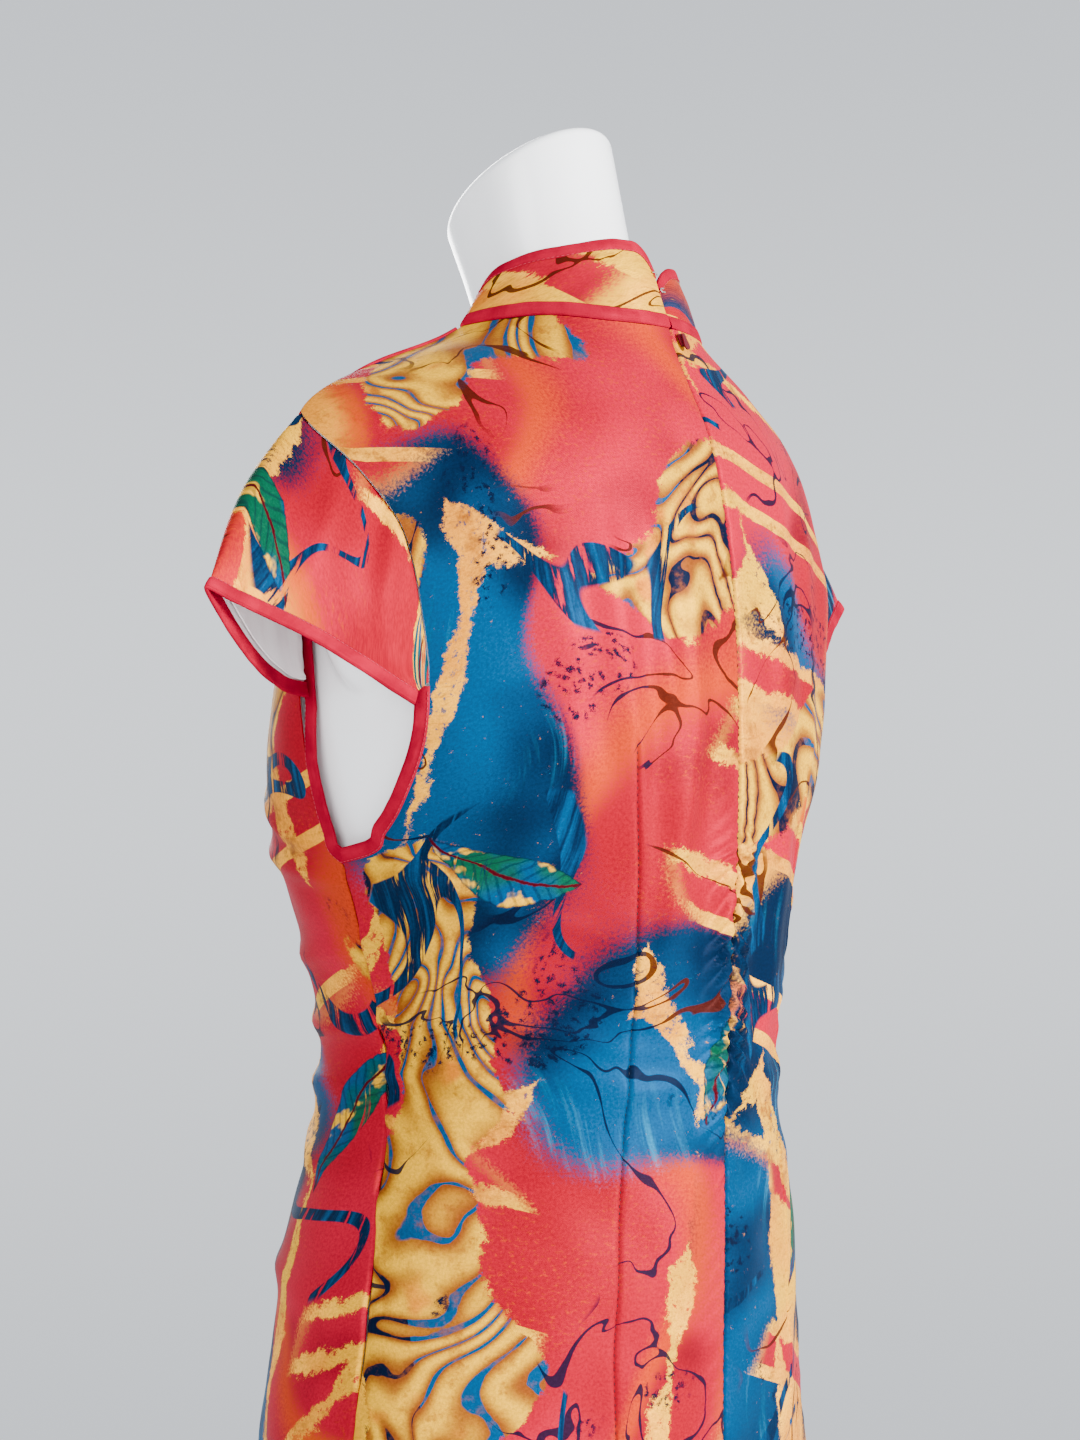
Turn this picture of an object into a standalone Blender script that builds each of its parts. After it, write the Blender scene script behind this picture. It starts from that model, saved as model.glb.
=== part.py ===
"""Cheongsam dress with cap sleeves on a limbless dress form, metres, +Z up, the dress's front towards -Y.

The cloth follows one body surface, read at an angle round the dress and a height. The angle is 0 at the
centre back, 90 at the wearer's left side (+X), 180 at the centre front and -90 at the wearer's right side.
"""

import math

import bpy
import bmesh
import numpy as np
from mathutils import Matrix, Vector
from mathutils.bvhtree import BVHTree

for old in list(bpy.data.objects):
    bpy.data.objects.remove(old, do_unlink=True)

CLOTH = 0.0012  # thickness of the outer cloth
LINING = 0.0010
SEAM = 0.0003  # room between two pieces that are sewn together
SMALL_STEP = 0.002  # for directions and nearest places on the cloth
MILLIMETRE = 0.001
BINDING = 0.0085  # width of the satin binding on sleeves and armholes
COLLAR_BINDING = 0.0065
COLLAR_FOOT = 0.0013  # the neckline's binding starts this far above the panels' edge
NECK_BINDING = 0.0070
BINDING_CLOTH = 0.0022  # folded satin, two layers over the raw edge
HEM = 0.450
SLIT_TOP = 0.640
SLIT_ROOM = 0.004  # how far a side edge stands off the side line at the hem
LEAST_FRONT_DEPTH = 0.004  # of a layer inside the cloth, in front of its side line
UNDERARM = 1.1165
SHOULDER_TIP = 1.347
COLUMNS = 10  # of facets from a panel's centre line to its side
SKIRT_ROWS, ARMHOLE_ROWS, SHOULDER_ROWS = 13, 16, 4
# where the shoulder tip's row meets the centre line
ARMHOLE_END_AT_CENTRE = {"back": 1.360, "front": 1.292}
NOTCH = 7  # the row at which the sleeve leaves the armhole
BINDING_END = 9  # the front armhole's binding goes on up under the sleeve to this row

# height, half width, side line y, front y, back y, front power, back power
BODY = (
    (0.450, 0.1600, 0.006, -0.128, 0.122, 0.90, 1.00),
    (0.620, 0.1710, 0.010, -0.136, 0.126, 0.90, 1.05),
    (0.800, 0.1670, 0.012, -0.137, 0.126, 0.90, 1.10),
    (0.860, 0.1590, 0.014, -0.133, 0.126, 0.90, 1.10),
    (0.920, 0.1470, 0.012, -0.126, 0.127, 0.90, 1.05),
    (0.980, 0.1290, 0.004, -0.113, 0.127, 0.90, 0.95),
    (1.020, 0.1230, -0.002, -0.107, 0.129, 0.90, 0.92),
    (1.060, 0.1320, -0.005, -0.112, 0.131, 0.90, 0.92),
    (1.120, 0.1500, -0.008, -0.125, 0.135, 0.90, 0.90),
    (1.180, 0.1680, -0.003, -0.115, 0.136, 0.90, 0.80),
    (1.240, 0.1720, 0.000, -0.093, 0.134, 0.90, 0.80),
    (1.290, 0.1770, 0.000, -0.070, 0.128, 1.10, 0.95),
    (1.330, 0.1820, -0.004, -0.046, 0.119, 1.30, 1.25),
    (1.345, 0.1810, -0.008, -0.034, 0.1135, 1.40, 1.45),
    (1.360, 0.1630, -0.007, -0.022, 0.106, 1.40, 1.55),
    (1.375, 0.1260, -0.004, -0.011, 0.0985, 1.40, 1.35),
    (1.390, 0.0850, 0.004, -0.002, 0.092, 1.30, 1.15),
    (1.405, 0.0620, 0.010, 0.006, 0.088, 1.00, 1.00),
    (1.420, 0.0500, 0.013, 0.010, 0.084, 1.00, 1.00),
)
# height, y of the back panel's edge, y of the front panel's edge
ARMHOLE = (
    (1.1165, -0.008, -0.008),
    (1.1200, 0.008, -0.013),
    (1.1330, 0.025, -0.0165),
    (1.1570, 0.045, -0.018),
    (1.1750, 0.055, -0.018),
    (1.2100, 0.061, -0.020),
    (1.2450, 0.058, -0.024),
    (1.2700, 0.054, -0.027),
    (1.2880, 0.048, -0.027),
    (1.3050, 0.037, -0.025),
    (1.3230, 0.021, -0.020),
    (1.3350, 0.006, -0.014),
    (1.3470, -0.008, -0.008),
)
# angle from the centre back, seam height on the left, seam height on the right, which hangs lower
NECKLINE = (
    (0, 1.3960, 1.3960),
    (30, 1.3982, 1.3918),
    (60, 1.4012, 1.3895),
    (80, 1.3990, 1.3895),
    (90, 1.3970, 1.3895),
    (132, 1.3900, 1.3855),
    (148, 1.3750, 1.3730),
    (157, 1.3600, 1.3590),
    (162, 1.3470, 1.3470),
    (169, 1.3340, 1.3340),
    (180, 1.3270, 1.3270),
)
# angle, height of the collar's top edge on the left, on the right
COLLAR_TOP = (
    (0, 1.4285, 1.4190),
    (6, 1.4360, 1.4255),
    (12, 1.4410, 1.4290),
    (21, 1.4425, 1.4305),
    (46, 1.4395, 1.4290),
    (75, 1.4325, 1.4260),
    (86, 1.4270, 1.4220),
    (96, 1.4150, 1.4130),
    (110, 1.4050, 1.4040),
    (128, 1.3954, 1.3950),
    (155, 1.3790, 1.3790),
    (180, 1.3700, 1.3700),
)
COLLAR_TOP_HALF_WIDTH, COLLAR_TOP_BACK, COLLAR_TOP_FRONT, COLLAR_TOP_Y = 0.058, 0.066, 0.048, 0.012
COLLAR_OPENING = 0.0016  # the collar's two ends stand this far apart at the centre back
# share along the armhole, front notch to back notch, and the place where the hem's binding starts
SLEEVE_HEM = (
    (0.00, 0.1680, -0.0165, 1.2085),
    (0.14, 0.1920, -0.0110, 1.2125),
    (0.28, 0.2240, -0.0010, 1.2265),
    (0.40, 0.2500, 0.0055, 1.2480),
    (0.46, 0.2615, 0.0085, 1.2597),
    (0.54, 0.2470, 0.0160, 1.2530),
    (0.76, 0.2080, 0.0370, 1.2330),
    (1.00, 0.1665, 0.0600, 1.2045),
)
SLEEVE_BULGE = 0.0070
SLEEVE_ROOM = 0.0010  # between the sleeve's edge and the armhole's, which meet at an angle
HEM_ROOM = 0.0016  # between the sleeve and its hem's binding
LINING_ROOM = 0.0034  # between the lining's edges and the sleeve's
LINING_DEPTH = 0.0018  # between the sleeve's inner face and its lining
LINING_CUT, LINING_COLUMNS = 3, 4  # rows left out at each end of the sleeve, and facets across it
UNDER_SLEEVE = 0.0042  # how much deeper the front armhole's binding lies under the sleeve
BACK_END_SHARE = 0.92  # the back one begins this share of a row below the notch
# share from the neck to the armhole, angle, height: the front's piping, from under the neckline
PIPING = (
    (0.18, 98, 1.3825),
    (0.36, 98, 1.3750),
    (0.58, 113, 1.3610),
    (0.80, 128, 1.3300),
    (1.00, 118, 1.2850),
)
PIPING_START_ANGLE, PIPING_START_DROP = 101, 0.0032
PIPING_WIDTH, PIPING_HEIGHT, PIPING_LIFT = 0.0028, 0.0014, 0.0008
PIPING_STEPS = 24

SLIDER_ANGLE, SLIDER_HEIGHT = -3.2, 1.3895  # just right of the centre back, under the binding
SLIDER_WIDTH, SLIDER_LENGTH, SLIDER_DEPTH = 0.0052, 0.0074, 0.0018
SLIDER_SEAT = 0.0006  # above the cloth, on the zip's teeth
SLIDER_EDGE = 0.35  # the bevel's share of the slider's depth
PULL_LENGTH, PULL_WIDTH, PULL_THICKNESS = 0.0092, 0.0046, 0.0008
PULL_NECK_WIDTH, PULL_ABOVE_AXIS = 0.0026, 0.0006
PULL_ROOM = 0.0005
HOOK_WIRE = 0.00035
HOOK_SHARE = 0.87  # how far up the collar's end the hook and eye are sewn
# millimetres out from the collar's end and up it: hook on the left end, eye on the right
HOOK_PATH = ((4.2, 0.9), (1.8, 0.9), (1.1, 0.7), (0.75, 0.0), (1.1, -0.7), (1.8, -0.9), (2.6, -0.9))
EYE_PATH = ((4.2, 1.1), (2.2, 1.1), (1.4, 0.8), (1.05, 0.0), (1.4, -0.8), (2.2, -1.1), (4.2, -1.1))

FORM_BOTTOM = 0.640
FORM_END_DEPTH = 0.030  # of the rounded end under FORM_BOTTOM
FORM_END_RINGS = (0.45, 0.75, 0.93)
FORM_CHEST_TOP, FORM_TORSO_TOP = 1.320, 1.388
FORM_ROOM = 0.0085  # the form lies this far inside the cloth below the shoulders
# the shoulders, which carry the dress, lie closer to the cloth
TIP_ROOM, SHOULDER_ROOM, SHOULDER_DROP = 0.0045, 0.0014, 0.0028
SHOULDER_LEVELS = (1.300, 1.352, 1.372)
NECK_RADIUS = 0.0445
NECK_LEAN = 0.31
NECK_Y = 0.016  # of the neck's axis at NECK_LEVEL
NECK_FOOT, NECK_LEVEL, NECK_TOP = 1.300, 1.400, 1.4745
NECK_RIM, NECK_INNER_RING = 0.006, 0.45
NECK_FLARE, NECK_FLARE_LEVELS = 1.06, (1.33, 1.44)
NECK_TILT = 0.65  # rise of the slanted top, front to back
FORM_SIDES = 40
STUMP_CENTRE, STUMP_RADII = (0.150, 0.020, 1.255), (0.038, 0.029, 0.055)
BASE_RADIUS, BASE_HEIGHT = 0.165, 0.014
FOOT_EDGE, TOP_EDGE = 0.001, 0.004  # bevels of the stand's turned parts
POLE_RADIUS = 0.0125
COLLAR_OF_POLE_RADIUS, COLLAR_OF_POLE_HEIGHT = 0.024, 0.040

# name: red, green, blue, metallic, roughness
COLOURS = {
    "printed_satin": (0.55, 0.22, 0.16, 0.0, 0.38),
    "lining_satin": (0.86, 0.78, 0.78, 0.0, 0.55),
    "crimson_binding": (0.72, 0.02, 0.09, 0.0, 0.35),
    "zip_metal": (0.30, 0.02, 0.06, 0.4, 0.30),
    "hook_metal": (0.80, 0.79, 0.76, 0.8, 0.35),
    "form_plastic": (0.86, 0.87, 0.88, 0.0, 0.22),
    "stand_steel": (0.62, 0.63, 0.65, 1.0, 0.28),
}


def smooth_row(table, key):
    """The table's other columns at key, on a smooth curve through its rows."""
    rows = np.array(table, float)
    keys, values = rows[:, 0], rows[:, 1:]
    key = min(max(key, keys[0]), keys[-1])
    at = int(min(max(np.searchsorted(keys, key) - 1, 0), len(keys) - 2))
    slope = np.gradient(values, keys, axis=0)
    span = keys[at + 1] - keys[at]
    t = (key - keys[at]) / span
    return (
        (2 * t**3 - 3 * t**2 + 1) * values[at]
        + (t**3 - 2 * t**2 + t) * span * slope[at]
        + (3 * t**2 - 2 * t**3) * values[at + 1]
        + (t**3 - t**2) * span * slope[at + 1]
    )


def on_body(angle, height, room=0.0, drop=0.0):
    """The dress's outer surface at an angle and a height, or one `room` inside and `drop` below it."""
    half, side, front, back, front_power, back_power = smooth_row(BODY, height + drop)
    half, back = half - room, back - room
    front = min(front + room, side - LEAST_FRONT_DEPTH + room)
    turn = math.radians(angle)
    reach = math.cos(turn)
    if reach >= 0:
        y = side + (back - side) * reach**back_power
    else:
        y = side + (front - side) * (-reach) ** front_power
    return np.array([half * math.sin(turn), y, height])


def unit(vector):
    return vector / np.linalg.norm(vector)


def body_normal(angle, height):
    round_it = on_body(angle + 0.5, height) - on_body(angle - 0.5, height)
    up = on_body(angle, height + 0.0005) - on_body(angle, height - 0.0005)
    return unit(np.cross(up, round_it))


def material(name):
    found = bpy.data.materials.get(name)
    if found:
        return found
    red, green, blue, metallic, roughness = COLOURS[name]
    made = bpy.data.materials.new(name)
    made.use_nodes = True
    shader = made.node_tree.nodes["Principled BSDF"]
    shader.inputs["Base Color"].default_value = (red, green, blue, 1)
    shader.inputs["Metallic"].default_value = metallic
    shader.inputs["Roughness"].default_value = roughness
    return made


def mesh_object(name, points, faces, finish, smooth_angle=40):
    mesh = bpy.data.meshes.new(name)
    mesh.from_pydata([tuple(p) for p in points], [], faces)
    shape = bmesh.new()
    shape.from_mesh(mesh)
    bmesh.ops.recalc_face_normals(shape, faces=shape.faces)
    if shape.calc_volume(signed=True) < 0:
        bmesh.ops.reverse_faces(shape, faces=shape.faces)
    shape.to_mesh(mesh)
    shape.free()
    mesh.shade_smooth()
    mesh.set_sharp_from_angle(angle=math.radians(smooth_angle))
    made = bpy.data.objects.new(name, mesh)
    bpy.context.scene.collection.objects.link(made)
    mesh.materials.append(material(finish))
    return made


def sheet_solid(name, outer, inner, finish):
    """A closed wall between two grids of points, given as rows of equal length."""
    rows, columns = outer.shape[:2]
    points = np.concatenate([outer.reshape(-1, 3), inner.reshape(-1, 3)])
    below = rows * columns

    def at(row, column, layer):
        return row * columns + column + layer * below

    faces = []
    for row in range(rows - 1):
        for column in range(columns - 1):
            corners = ((row, column), (row, column + 1), (row + 1, column + 1), (row + 1, column))
            faces.append([at(r, c, 0) for r, c in corners])
            faces.append([at(r, c, 1) for r, c in reversed(corners)])
    rim = [(0, c) for c in range(columns)] + [(r, columns - 1) for r in range(1, rows)]
    rim += [(rows - 1, c) for c in range(columns - 2, -1, -1)] + [(r, 0) for r in range(rows - 2, 0, -1)]
    for (r1, c1), (r2, c2) in zip(rim, rim[1:] + rim[:1]):
        faces.append([at(r1, c1, 0), at(r1, c1, 1), at(r2, c2, 1), at(r2, c2, 0)])
    return mesh_object(name, points, faces, finish)


def pull_in(grid, room, edges):
    """Moves a grid's named edges towards its middle, to leave room for a seam."""
    pairs = {
        "left": (np.s_[:, 0], np.s_[:, 1]),
        "right": (np.s_[:, -1], np.s_[:, -2]),
        "top": (np.s_[-1], np.s_[-2]),
    }
    for edge in edges:
        rim, next_in = pairs[edge]
        way = grid[next_in] - grid[rim]
        grid[rim] += way / np.linalg.norm(way, axis=-1, keepdims=True) * room
    return grid


def angle_on_edge(height, y, to_front):
    """The angle at which the body surface has this y."""
    half, side, front, back, front_power, back_power = smooth_row(BODY, height)
    if to_front:
        share = max(side - y, 0) / (side - front)
        return 90 + math.degrees(math.asin(min(share ** (1 / front_power), 1)))
    share = max(y - side, 0) / (back - side)
    return 90 - math.degrees(math.asin(min(share ** (1 / back_power), 1)))


def armhole_places(to_front):
    """Angle and height of each row on the armhole's seam, from the underarm to the shoulder tip."""
    places = []
    for turn in np.linspace(0, math.pi, ARMHOLE_ROWS + 1):
        height = UNDERARM + (SHOULDER_TIP - UNDERARM) * (1 - math.cos(turn)) / 2
        y = smooth_row(ARMHOLE, height)[1 if to_front else 0]
        places.append((angle_on_edge(height, y, to_front), height))
    return places


def neckline_at(angle, right):
    return smooth_row(NECKLINE, angle)[1 if right else 0]


def half_panel(to_front, right, columns):
    """Rows of (angle, height) of one half of the front or the back, from the centre line to the side."""
    centre = 180 if to_front else 0
    face = "front" if to_front else "back"
    centre_top = neckline_at(centre, right)
    side_top = neckline_at(90, right)
    inner, outer = [], []
    for height in np.linspace(HEM, UNDERARM, SKIRT_ROWS + 1)[:-1]:
        inner.append((centre, height))
        outer.append((90, height))
    for place in armhole_places(to_front)[:-1]:
        share = (place[1] - UNDERARM) / (SHOULDER_TIP - UNDERARM)
        inner.append((centre, UNDERARM + (ARMHOLE_END_AT_CENTRE[face] - UNDERARM) * share))
        outer.append(place)
    for share in np.linspace(0, 1, SHOULDER_ROWS + 1):
        inner.append((centre, ARMHOLE_END_AT_CENTRE[face] * (1 - share) + centre_top * share))
        outer.append((90, SHOULDER_TIP + (side_top - SHOULDER_TIP) * share))
    inner, outer = np.array(inner), np.array(outer)
    rows = []
    for number, (start, end) in enumerate(zip(inner, outer)):
        rise = max(0, (number - SKIRT_ROWS) / (len(inner) - 1 - SKIRT_ROWS)) ** 2
        row = []
        for share in np.linspace(0, 1, columns + 1):
            straight = centre_top + (side_top - centre_top) * share
            lift = neckline_at(centre + (90 - centre) * share, right) - straight
            row.append(start + (end - start) * share + np.array([0, lift * rise]))
        rows.append(row)
    return np.array(rows)


def wall_of(places, right=False, outside=0.0, thickness=CLOTH):
    """Outer and inner points of a wall over rows of (angle, height)."""
    outer = np.empty(places.shape[:2] + (3,))
    inner = np.empty_like(outer)
    for index in np.ndindex(places.shape[:2]):
        angle, height = places[index]
        point, normal = on_body(angle, height), body_normal(angle, height)
        outer[index] = point + normal * outside
        inner[index] = point + normal * (outside - thickness)
    if right:
        outer[..., 0] *= -1
        inner[..., 0] *= -1
    return outer, inner


def open_slit(grid, columns, to_front):
    """Moves a panel's side edges apart below the top of the slit."""
    way = -1 if to_front else 1
    for row in grid:
        share = max(0.0, (SLIT_TOP - row[0][2]) / (SLIT_TOP - HEM))
        for column in columns:
            row[column][1] += way * SLIT_ROOM * share**0.5 / 2
    return grid


def make_back(name, right):
    outer, inner = wall_of(half_panel(False, right, COLUMNS), right)
    for grid in (outer, inner):
        pull_in(grid, SEAM / 2, ("left", "right", "top"))
        open_slit(grid, (-1,), False)
    return sheet_solid(name, outer, inner, "printed_satin")


def make_front():
    left = wall_of(half_panel(True, False, COLUMNS))
    right = wall_of(half_panel(True, True, COLUMNS), right=True)
    walls = [np.concatenate([a[:, ::-1], b[:, 1:]], axis=1) for a, b in zip(left, right)]
    for grid in walls:
        pull_in(grid, SEAM / 2, ("left", "right", "top"))
        open_slit(grid, (0, -1), True)
    return sheet_solid("front", *walls, "printed_satin")


def mirrored(points, right):
    return points * np.array([-1 if right else 1, 1, 1])


def sleeve_grid(inset, across=5):
    """The left sleeve, `inset` inside its outer face, from its seam to the hem's binding, and its way out.

    The way out is longer where the cloth turns over the top, so that layers stay as far apart there.
    """
    places = armhole_places(True)[NOTCH:] + armhole_places(False)[-2 : NOTCH - 1 : -1]
    top = np.array([on_body(*place) for place in places])
    run = np.concatenate([[0], np.cumsum(np.linalg.norm(np.diff(top, axis=0), axis=1))])
    share = run / run[-1]
    hem = np.array([smooth_row(SLEEVE_HEM, s) for s in share])
    grid = np.empty((len(top), across + 1, 3))
    for column, reach in enumerate(np.linspace(0, 1, across + 1)):
        grid[:, column] = top + (hem - top) * reach
    along = np.gradient(grid, axis=0)
    over = np.gradient(grid, axis=1)
    normal = np.cross(over, along)
    normal /= np.linalg.norm(normal, axis=2, keepdims=True)
    if normal[len(top) // 2, 0, 2] < 0:
        normal = -normal
    normal[0], normal[-1] = normal[1], normal[-2]
    before, after = np.roll(normal, 1, axis=0), np.roll(normal, -1, axis=0)
    before[0], after[-1] = normal[0], normal[-1]
    half_turn = np.sqrt((1 + (before * after).sum(axis=2, keepdims=True)) / 2)
    depth_way = normal / np.maximum(half_turn, 0.5)
    bulge = np.sin(np.linspace(0, 1, across + 1) * math.pi)[None, :, None]
    fullness = np.sin(share * math.pi)[:, None, None]
    return grid + normal * bulge * fullness * SLEEVE_BULGE - depth_way * inset, depth_way


def make_sleeve(side, right):
    outer, normal = sleeve_grid(0)
    inner = outer - normal * CLOTH
    pull_in(outer, SLEEVE_ROOM, ("left",))
    pull_in(inner, SLEEVE_ROOM + CLOTH / 2, ("left",))
    sheet_solid("sleeve_" + side, mirrored(outer, right), mirrored(inner, right), "printed_satin")
    lining, normal = [
        grid[LINING_CUT:-LINING_CUT] for grid in sleeve_grid(CLOTH + LINING_DEPTH, LINING_COLUMNS)
    ]
    lining_inner = lining - normal * LINING
    for grid in (lining, lining_inner):
        pull_in(grid, LINING_ROOM, ("left", "right"))
    layers = [mirrored(grid, right) for grid in (lining, lining_inner)]
    sheet_solid("sleeve_lining_" + side, *layers, "lining_satin")
    hem, seam = outer[:, -1], outer[:, 0]
    seam_way = np.gradient(seam, axis=0)
    seam_way *= np.sign(-seam_way[:, 2:]) / np.linalg.norm(seam_way, axis=1, keepdims=True)
    near_end = 1 - np.sin(np.linspace(0, math.pi, len(hem)))[:, None]
    down = (hem - seam) + seam_way * near_end**2 * 2 * BINDING
    down /= np.linalg.norm(down, axis=1, keepdims=True)
    face = normal_of_line(hem, down)
    start = hem + down * HEM_ROOM
    end = hem + down * (HEM_ROOM + BINDING)
    lift = (BINDING_CLOTH - CLOTH) / 2
    layers = [
        np.stack([start + face * level, end + face * level], axis=1)
        for level in (lift, lift - BINDING_CLOTH)
    ]
    sheet_solid("sleeve_binding_" + side, *[mirrored(grid, right) for grid in layers], "crimson_binding")


def normal_of_line(line, down):
    along = np.gradient(line, axis=0)
    face = np.cross(down, along)
    face /= np.linalg.norm(face, axis=1, keepdims=True)
    return face if face[len(line) // 2, 2] > 0 else -face


def make_armhole_binding(side, right):
    """From the back notch round under the arm and up the front, where it goes on under the sleeve."""
    places = armhole_places(False)[NOTCH::-1] + armhole_places(True)[1 : BINDING_END + 1]
    points = np.array([on_body(*place) for place in places])
    normals = np.array([body_normal(*place) for place in places])
    for point, normal in zip(points, normals):
        if point[1] < 0:
            point -= normal * UNDER_SLEEVE * np.interp(point[2], (1.170, 1.196), (0, 1))
    points[0] += (points[1] - points[0]) * BACK_END_SHARE
    into_hole = np.cross(np.gradient(points, axis=0), normals)
    into_hole /= np.linalg.norm(into_hole, axis=1, keepdims=True)
    edges = [points + into_hole * reach for reach in (SEAM / 2, SEAM / 2 + BINDING)]
    lift = (BINDING_CLOTH - CLOTH) / 2
    layers = [
        mirrored(np.stack([edge + normals * level for edge in edges], axis=1), right)
        for level in (lift, lift - BINDING_CLOTH)
    ]
    sheet_solid("armhole_binding_" + side, *layers, "crimson_binding")


def collar_lines(right, steps):
    """The neckline and the collar's top edge, from the centre back to the centre front."""
    angles = np.concatenate([(0, 3, 6), np.linspace(0, 180, steps)[1:]])
    low, high = [], []
    for angle in angles:
        low.append(on_body(angle, neckline_at(angle, right)))
        turn = math.radians(angle)
        depth = COLLAR_TOP_BACK if angle < 90 else COLLAR_TOP_FRONT
        x, y = COLLAR_TOP_HALF_WIDTH * math.sin(turn), COLLAR_TOP_Y + depth * math.cos(turn)
        high.append(np.array([x, y, smooth_row(COLLAR_TOP, angle)[1 if right else 0]]))
    low, high = np.array(low), np.array(high)
    spread = np.interp(angles, (0, 8), (1, 0))
    for line in (low, high):
        line[:, 0] += spread * COLLAR_OPENING / 2
    return mirrored(low, right), mirrored(high, right)


def make_collar():
    """The band from one end at the centre back round to the other, with both its bindings."""
    left, right = collar_lines(False, 2 * COLUMNS + 1), collar_lines(True, 2 * COLUMNS + 1)
    low, high = [np.concatenate([a, b[::-1][1:]]) for a, b in zip(left, right)]
    rise = high - low
    length = np.linalg.norm(rise, axis=1, keepdims=True)
    rise /= length
    along = np.gradient(low + high, axis=0)
    face = np.cross(along, rise)
    face /= np.linalg.norm(face, axis=1, keepdims=True)
    if face[0, 1] < 0:
        face = -face
    stops = {
        "neck_binding": (COLLAR_FOOT + 0 * length, COLLAR_FOOT + NECK_BINDING + 0 * length, BINDING_CLOTH, 1),
        "collar": (COLLAR_FOOT + NECK_BINDING + SEAM, length - COLLAR_BINDING - SEAM, CLOTH, 3),
        "collar_binding": (length - COLLAR_BINDING, length, BINDING_CLOTH, 1),
    }
    for name, (start, end, thick, across) in stops.items():
        lift = (thick - CLOTH) / 2
        shares = np.linspace(0, 1, across + 1)
        outer = np.stack([low + rise * (start + (end - start) * share) for share in shares], axis=1)
        layers = [outer + face[:, None] * level for level in (lift, lift - thick)]
        sheet_solid(name, *layers, "printed_satin" if name == "collar" else "crimson_binding")


def make_piping(side, right):
    """A narrow strip that lies on the front's facets, from the neck to the armhole."""
    front = bpy.data.objects["front"].data
    cloth = BVHTree.FromPolygons([v.co for v in front.vertices], [p.vertices for p in front.polygons])
    start = (0.0, PIPING_START_ANGLE, neckline_at(PIPING_START_ANGLE, right) - PIPING_START_DROP)
    places = [smooth_row((start, *PIPING), share) for share in np.linspace(0, 1, PIPING_STEPS + 1)]
    line = mirrored(np.array([on_body(*place) for place in places]), right)
    normals = mirrored(np.array([body_normal(*place) for place in places]), right)
    across = np.cross(normals, np.gradient(line, axis=0))
    across /= np.linalg.norm(across, axis=1, keepdims=True)
    low = np.empty((len(line), 2, 3))
    high = np.empty_like(low)
    for column, way in enumerate((-0.5, 0.5)):
        for row, point in enumerate(line + across * way * PIPING_WIDTH):
            found = cloth.find_nearest(point + normals[row] * SMALL_STEP)[0]
            low[row, column] = np.array(found) + normals[row] * (SEAM + PIPING_LIFT)
            high[row, column] = low[row, column] + normals[row] * PIPING_HEIGHT
    return sheet_solid("piping_" + side, high, low, "crimson_binding")


def cloth_frame(angle, height):
    """A point on the cloth with its own axes: x round the body, y up the cloth, z out of it."""
    out = body_normal(angle, height)
    up = unit(on_body(angle, height + SMALL_STEP) - on_body(angle, height - SMALL_STEP))
    axes = np.array([np.cross(up, out), up, out]).T
    frame = Matrix(axes.tolist()).to_4x4()
    frame.translation = Vector(on_body(angle, height))
    return frame


def make_zip():
    """The slider stops under the neckline's binding; its pull hangs from its top end and swings out."""
    frame = cloth_frame(SLIDER_ANGLE, SLIDER_HEIGHT)
    shape = bmesh.new()
    bmesh.ops.create_cube(shape, size=1)
    bmesh.ops.scale(shape, vec=(SLIDER_WIDTH, SLIDER_LENGTH, SLIDER_DEPTH), verts=shape.verts)
    rounding = SLIDER_DEPTH * SLIDER_EDGE
    bmesh.ops.bevel(shape, geom=list(shape.edges), offset=rounding, segments=2, affect="EDGES")
    mesh = bpy.data.meshes.new("zip_slider")
    shape.to_mesh(mesh)
    shape.free()
    mesh.shade_smooth()
    mesh.materials.append(material("zip_metal"))
    slider = bpy.data.objects.new("zip_slider", mesh)
    bpy.context.scene.collection.objects.link(slider)
    slider.matrix_world = frame @ Matrix.Translation((0, 0, SLIDER_SEAT + SLIDER_DEPTH / 2))

    tip = PULL_WIDTH / 2
    foot = PULL_ABOVE_AXIS - PULL_LENGTH + tip
    outline = [
        (PULL_NECK_WIDTH / 2 * math.cos(turn), PULL_ABOVE_AXIS * math.sin(turn))
        for turn in np.linspace(0, math.pi, 7)
    ]
    outline += [
        (tip * math.cos(turn), foot + tip * math.sin(turn))
        for turn in np.linspace(math.pi, 2 * math.pi, 11)
    ]
    points = [(x, y, z) for z in (-PULL_THICKNESS / 2, PULL_THICKNESS / 2) for x, y in outline]
    count = len(outline)
    faces = [list(range(count)), list(range(count, 2 * count))]
    faces += [[n, (n + 1) % count, (n + 1) % count + count, n + count] for n in range(count)]
    pull = mesh_object("zip_pull", points, faces, "zip_metal")
    lift = SLIDER_SEAT + SLIDER_DEPTH + PULL_ROOM + PULL_THICKNESS / 2
    axis_height = SLIDER_LENGTH / 2 - 2 * PULL_ABOVE_AXIS
    pull.matrix_world = frame @ Matrix.Translation((0, axis_height, lift))


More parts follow.
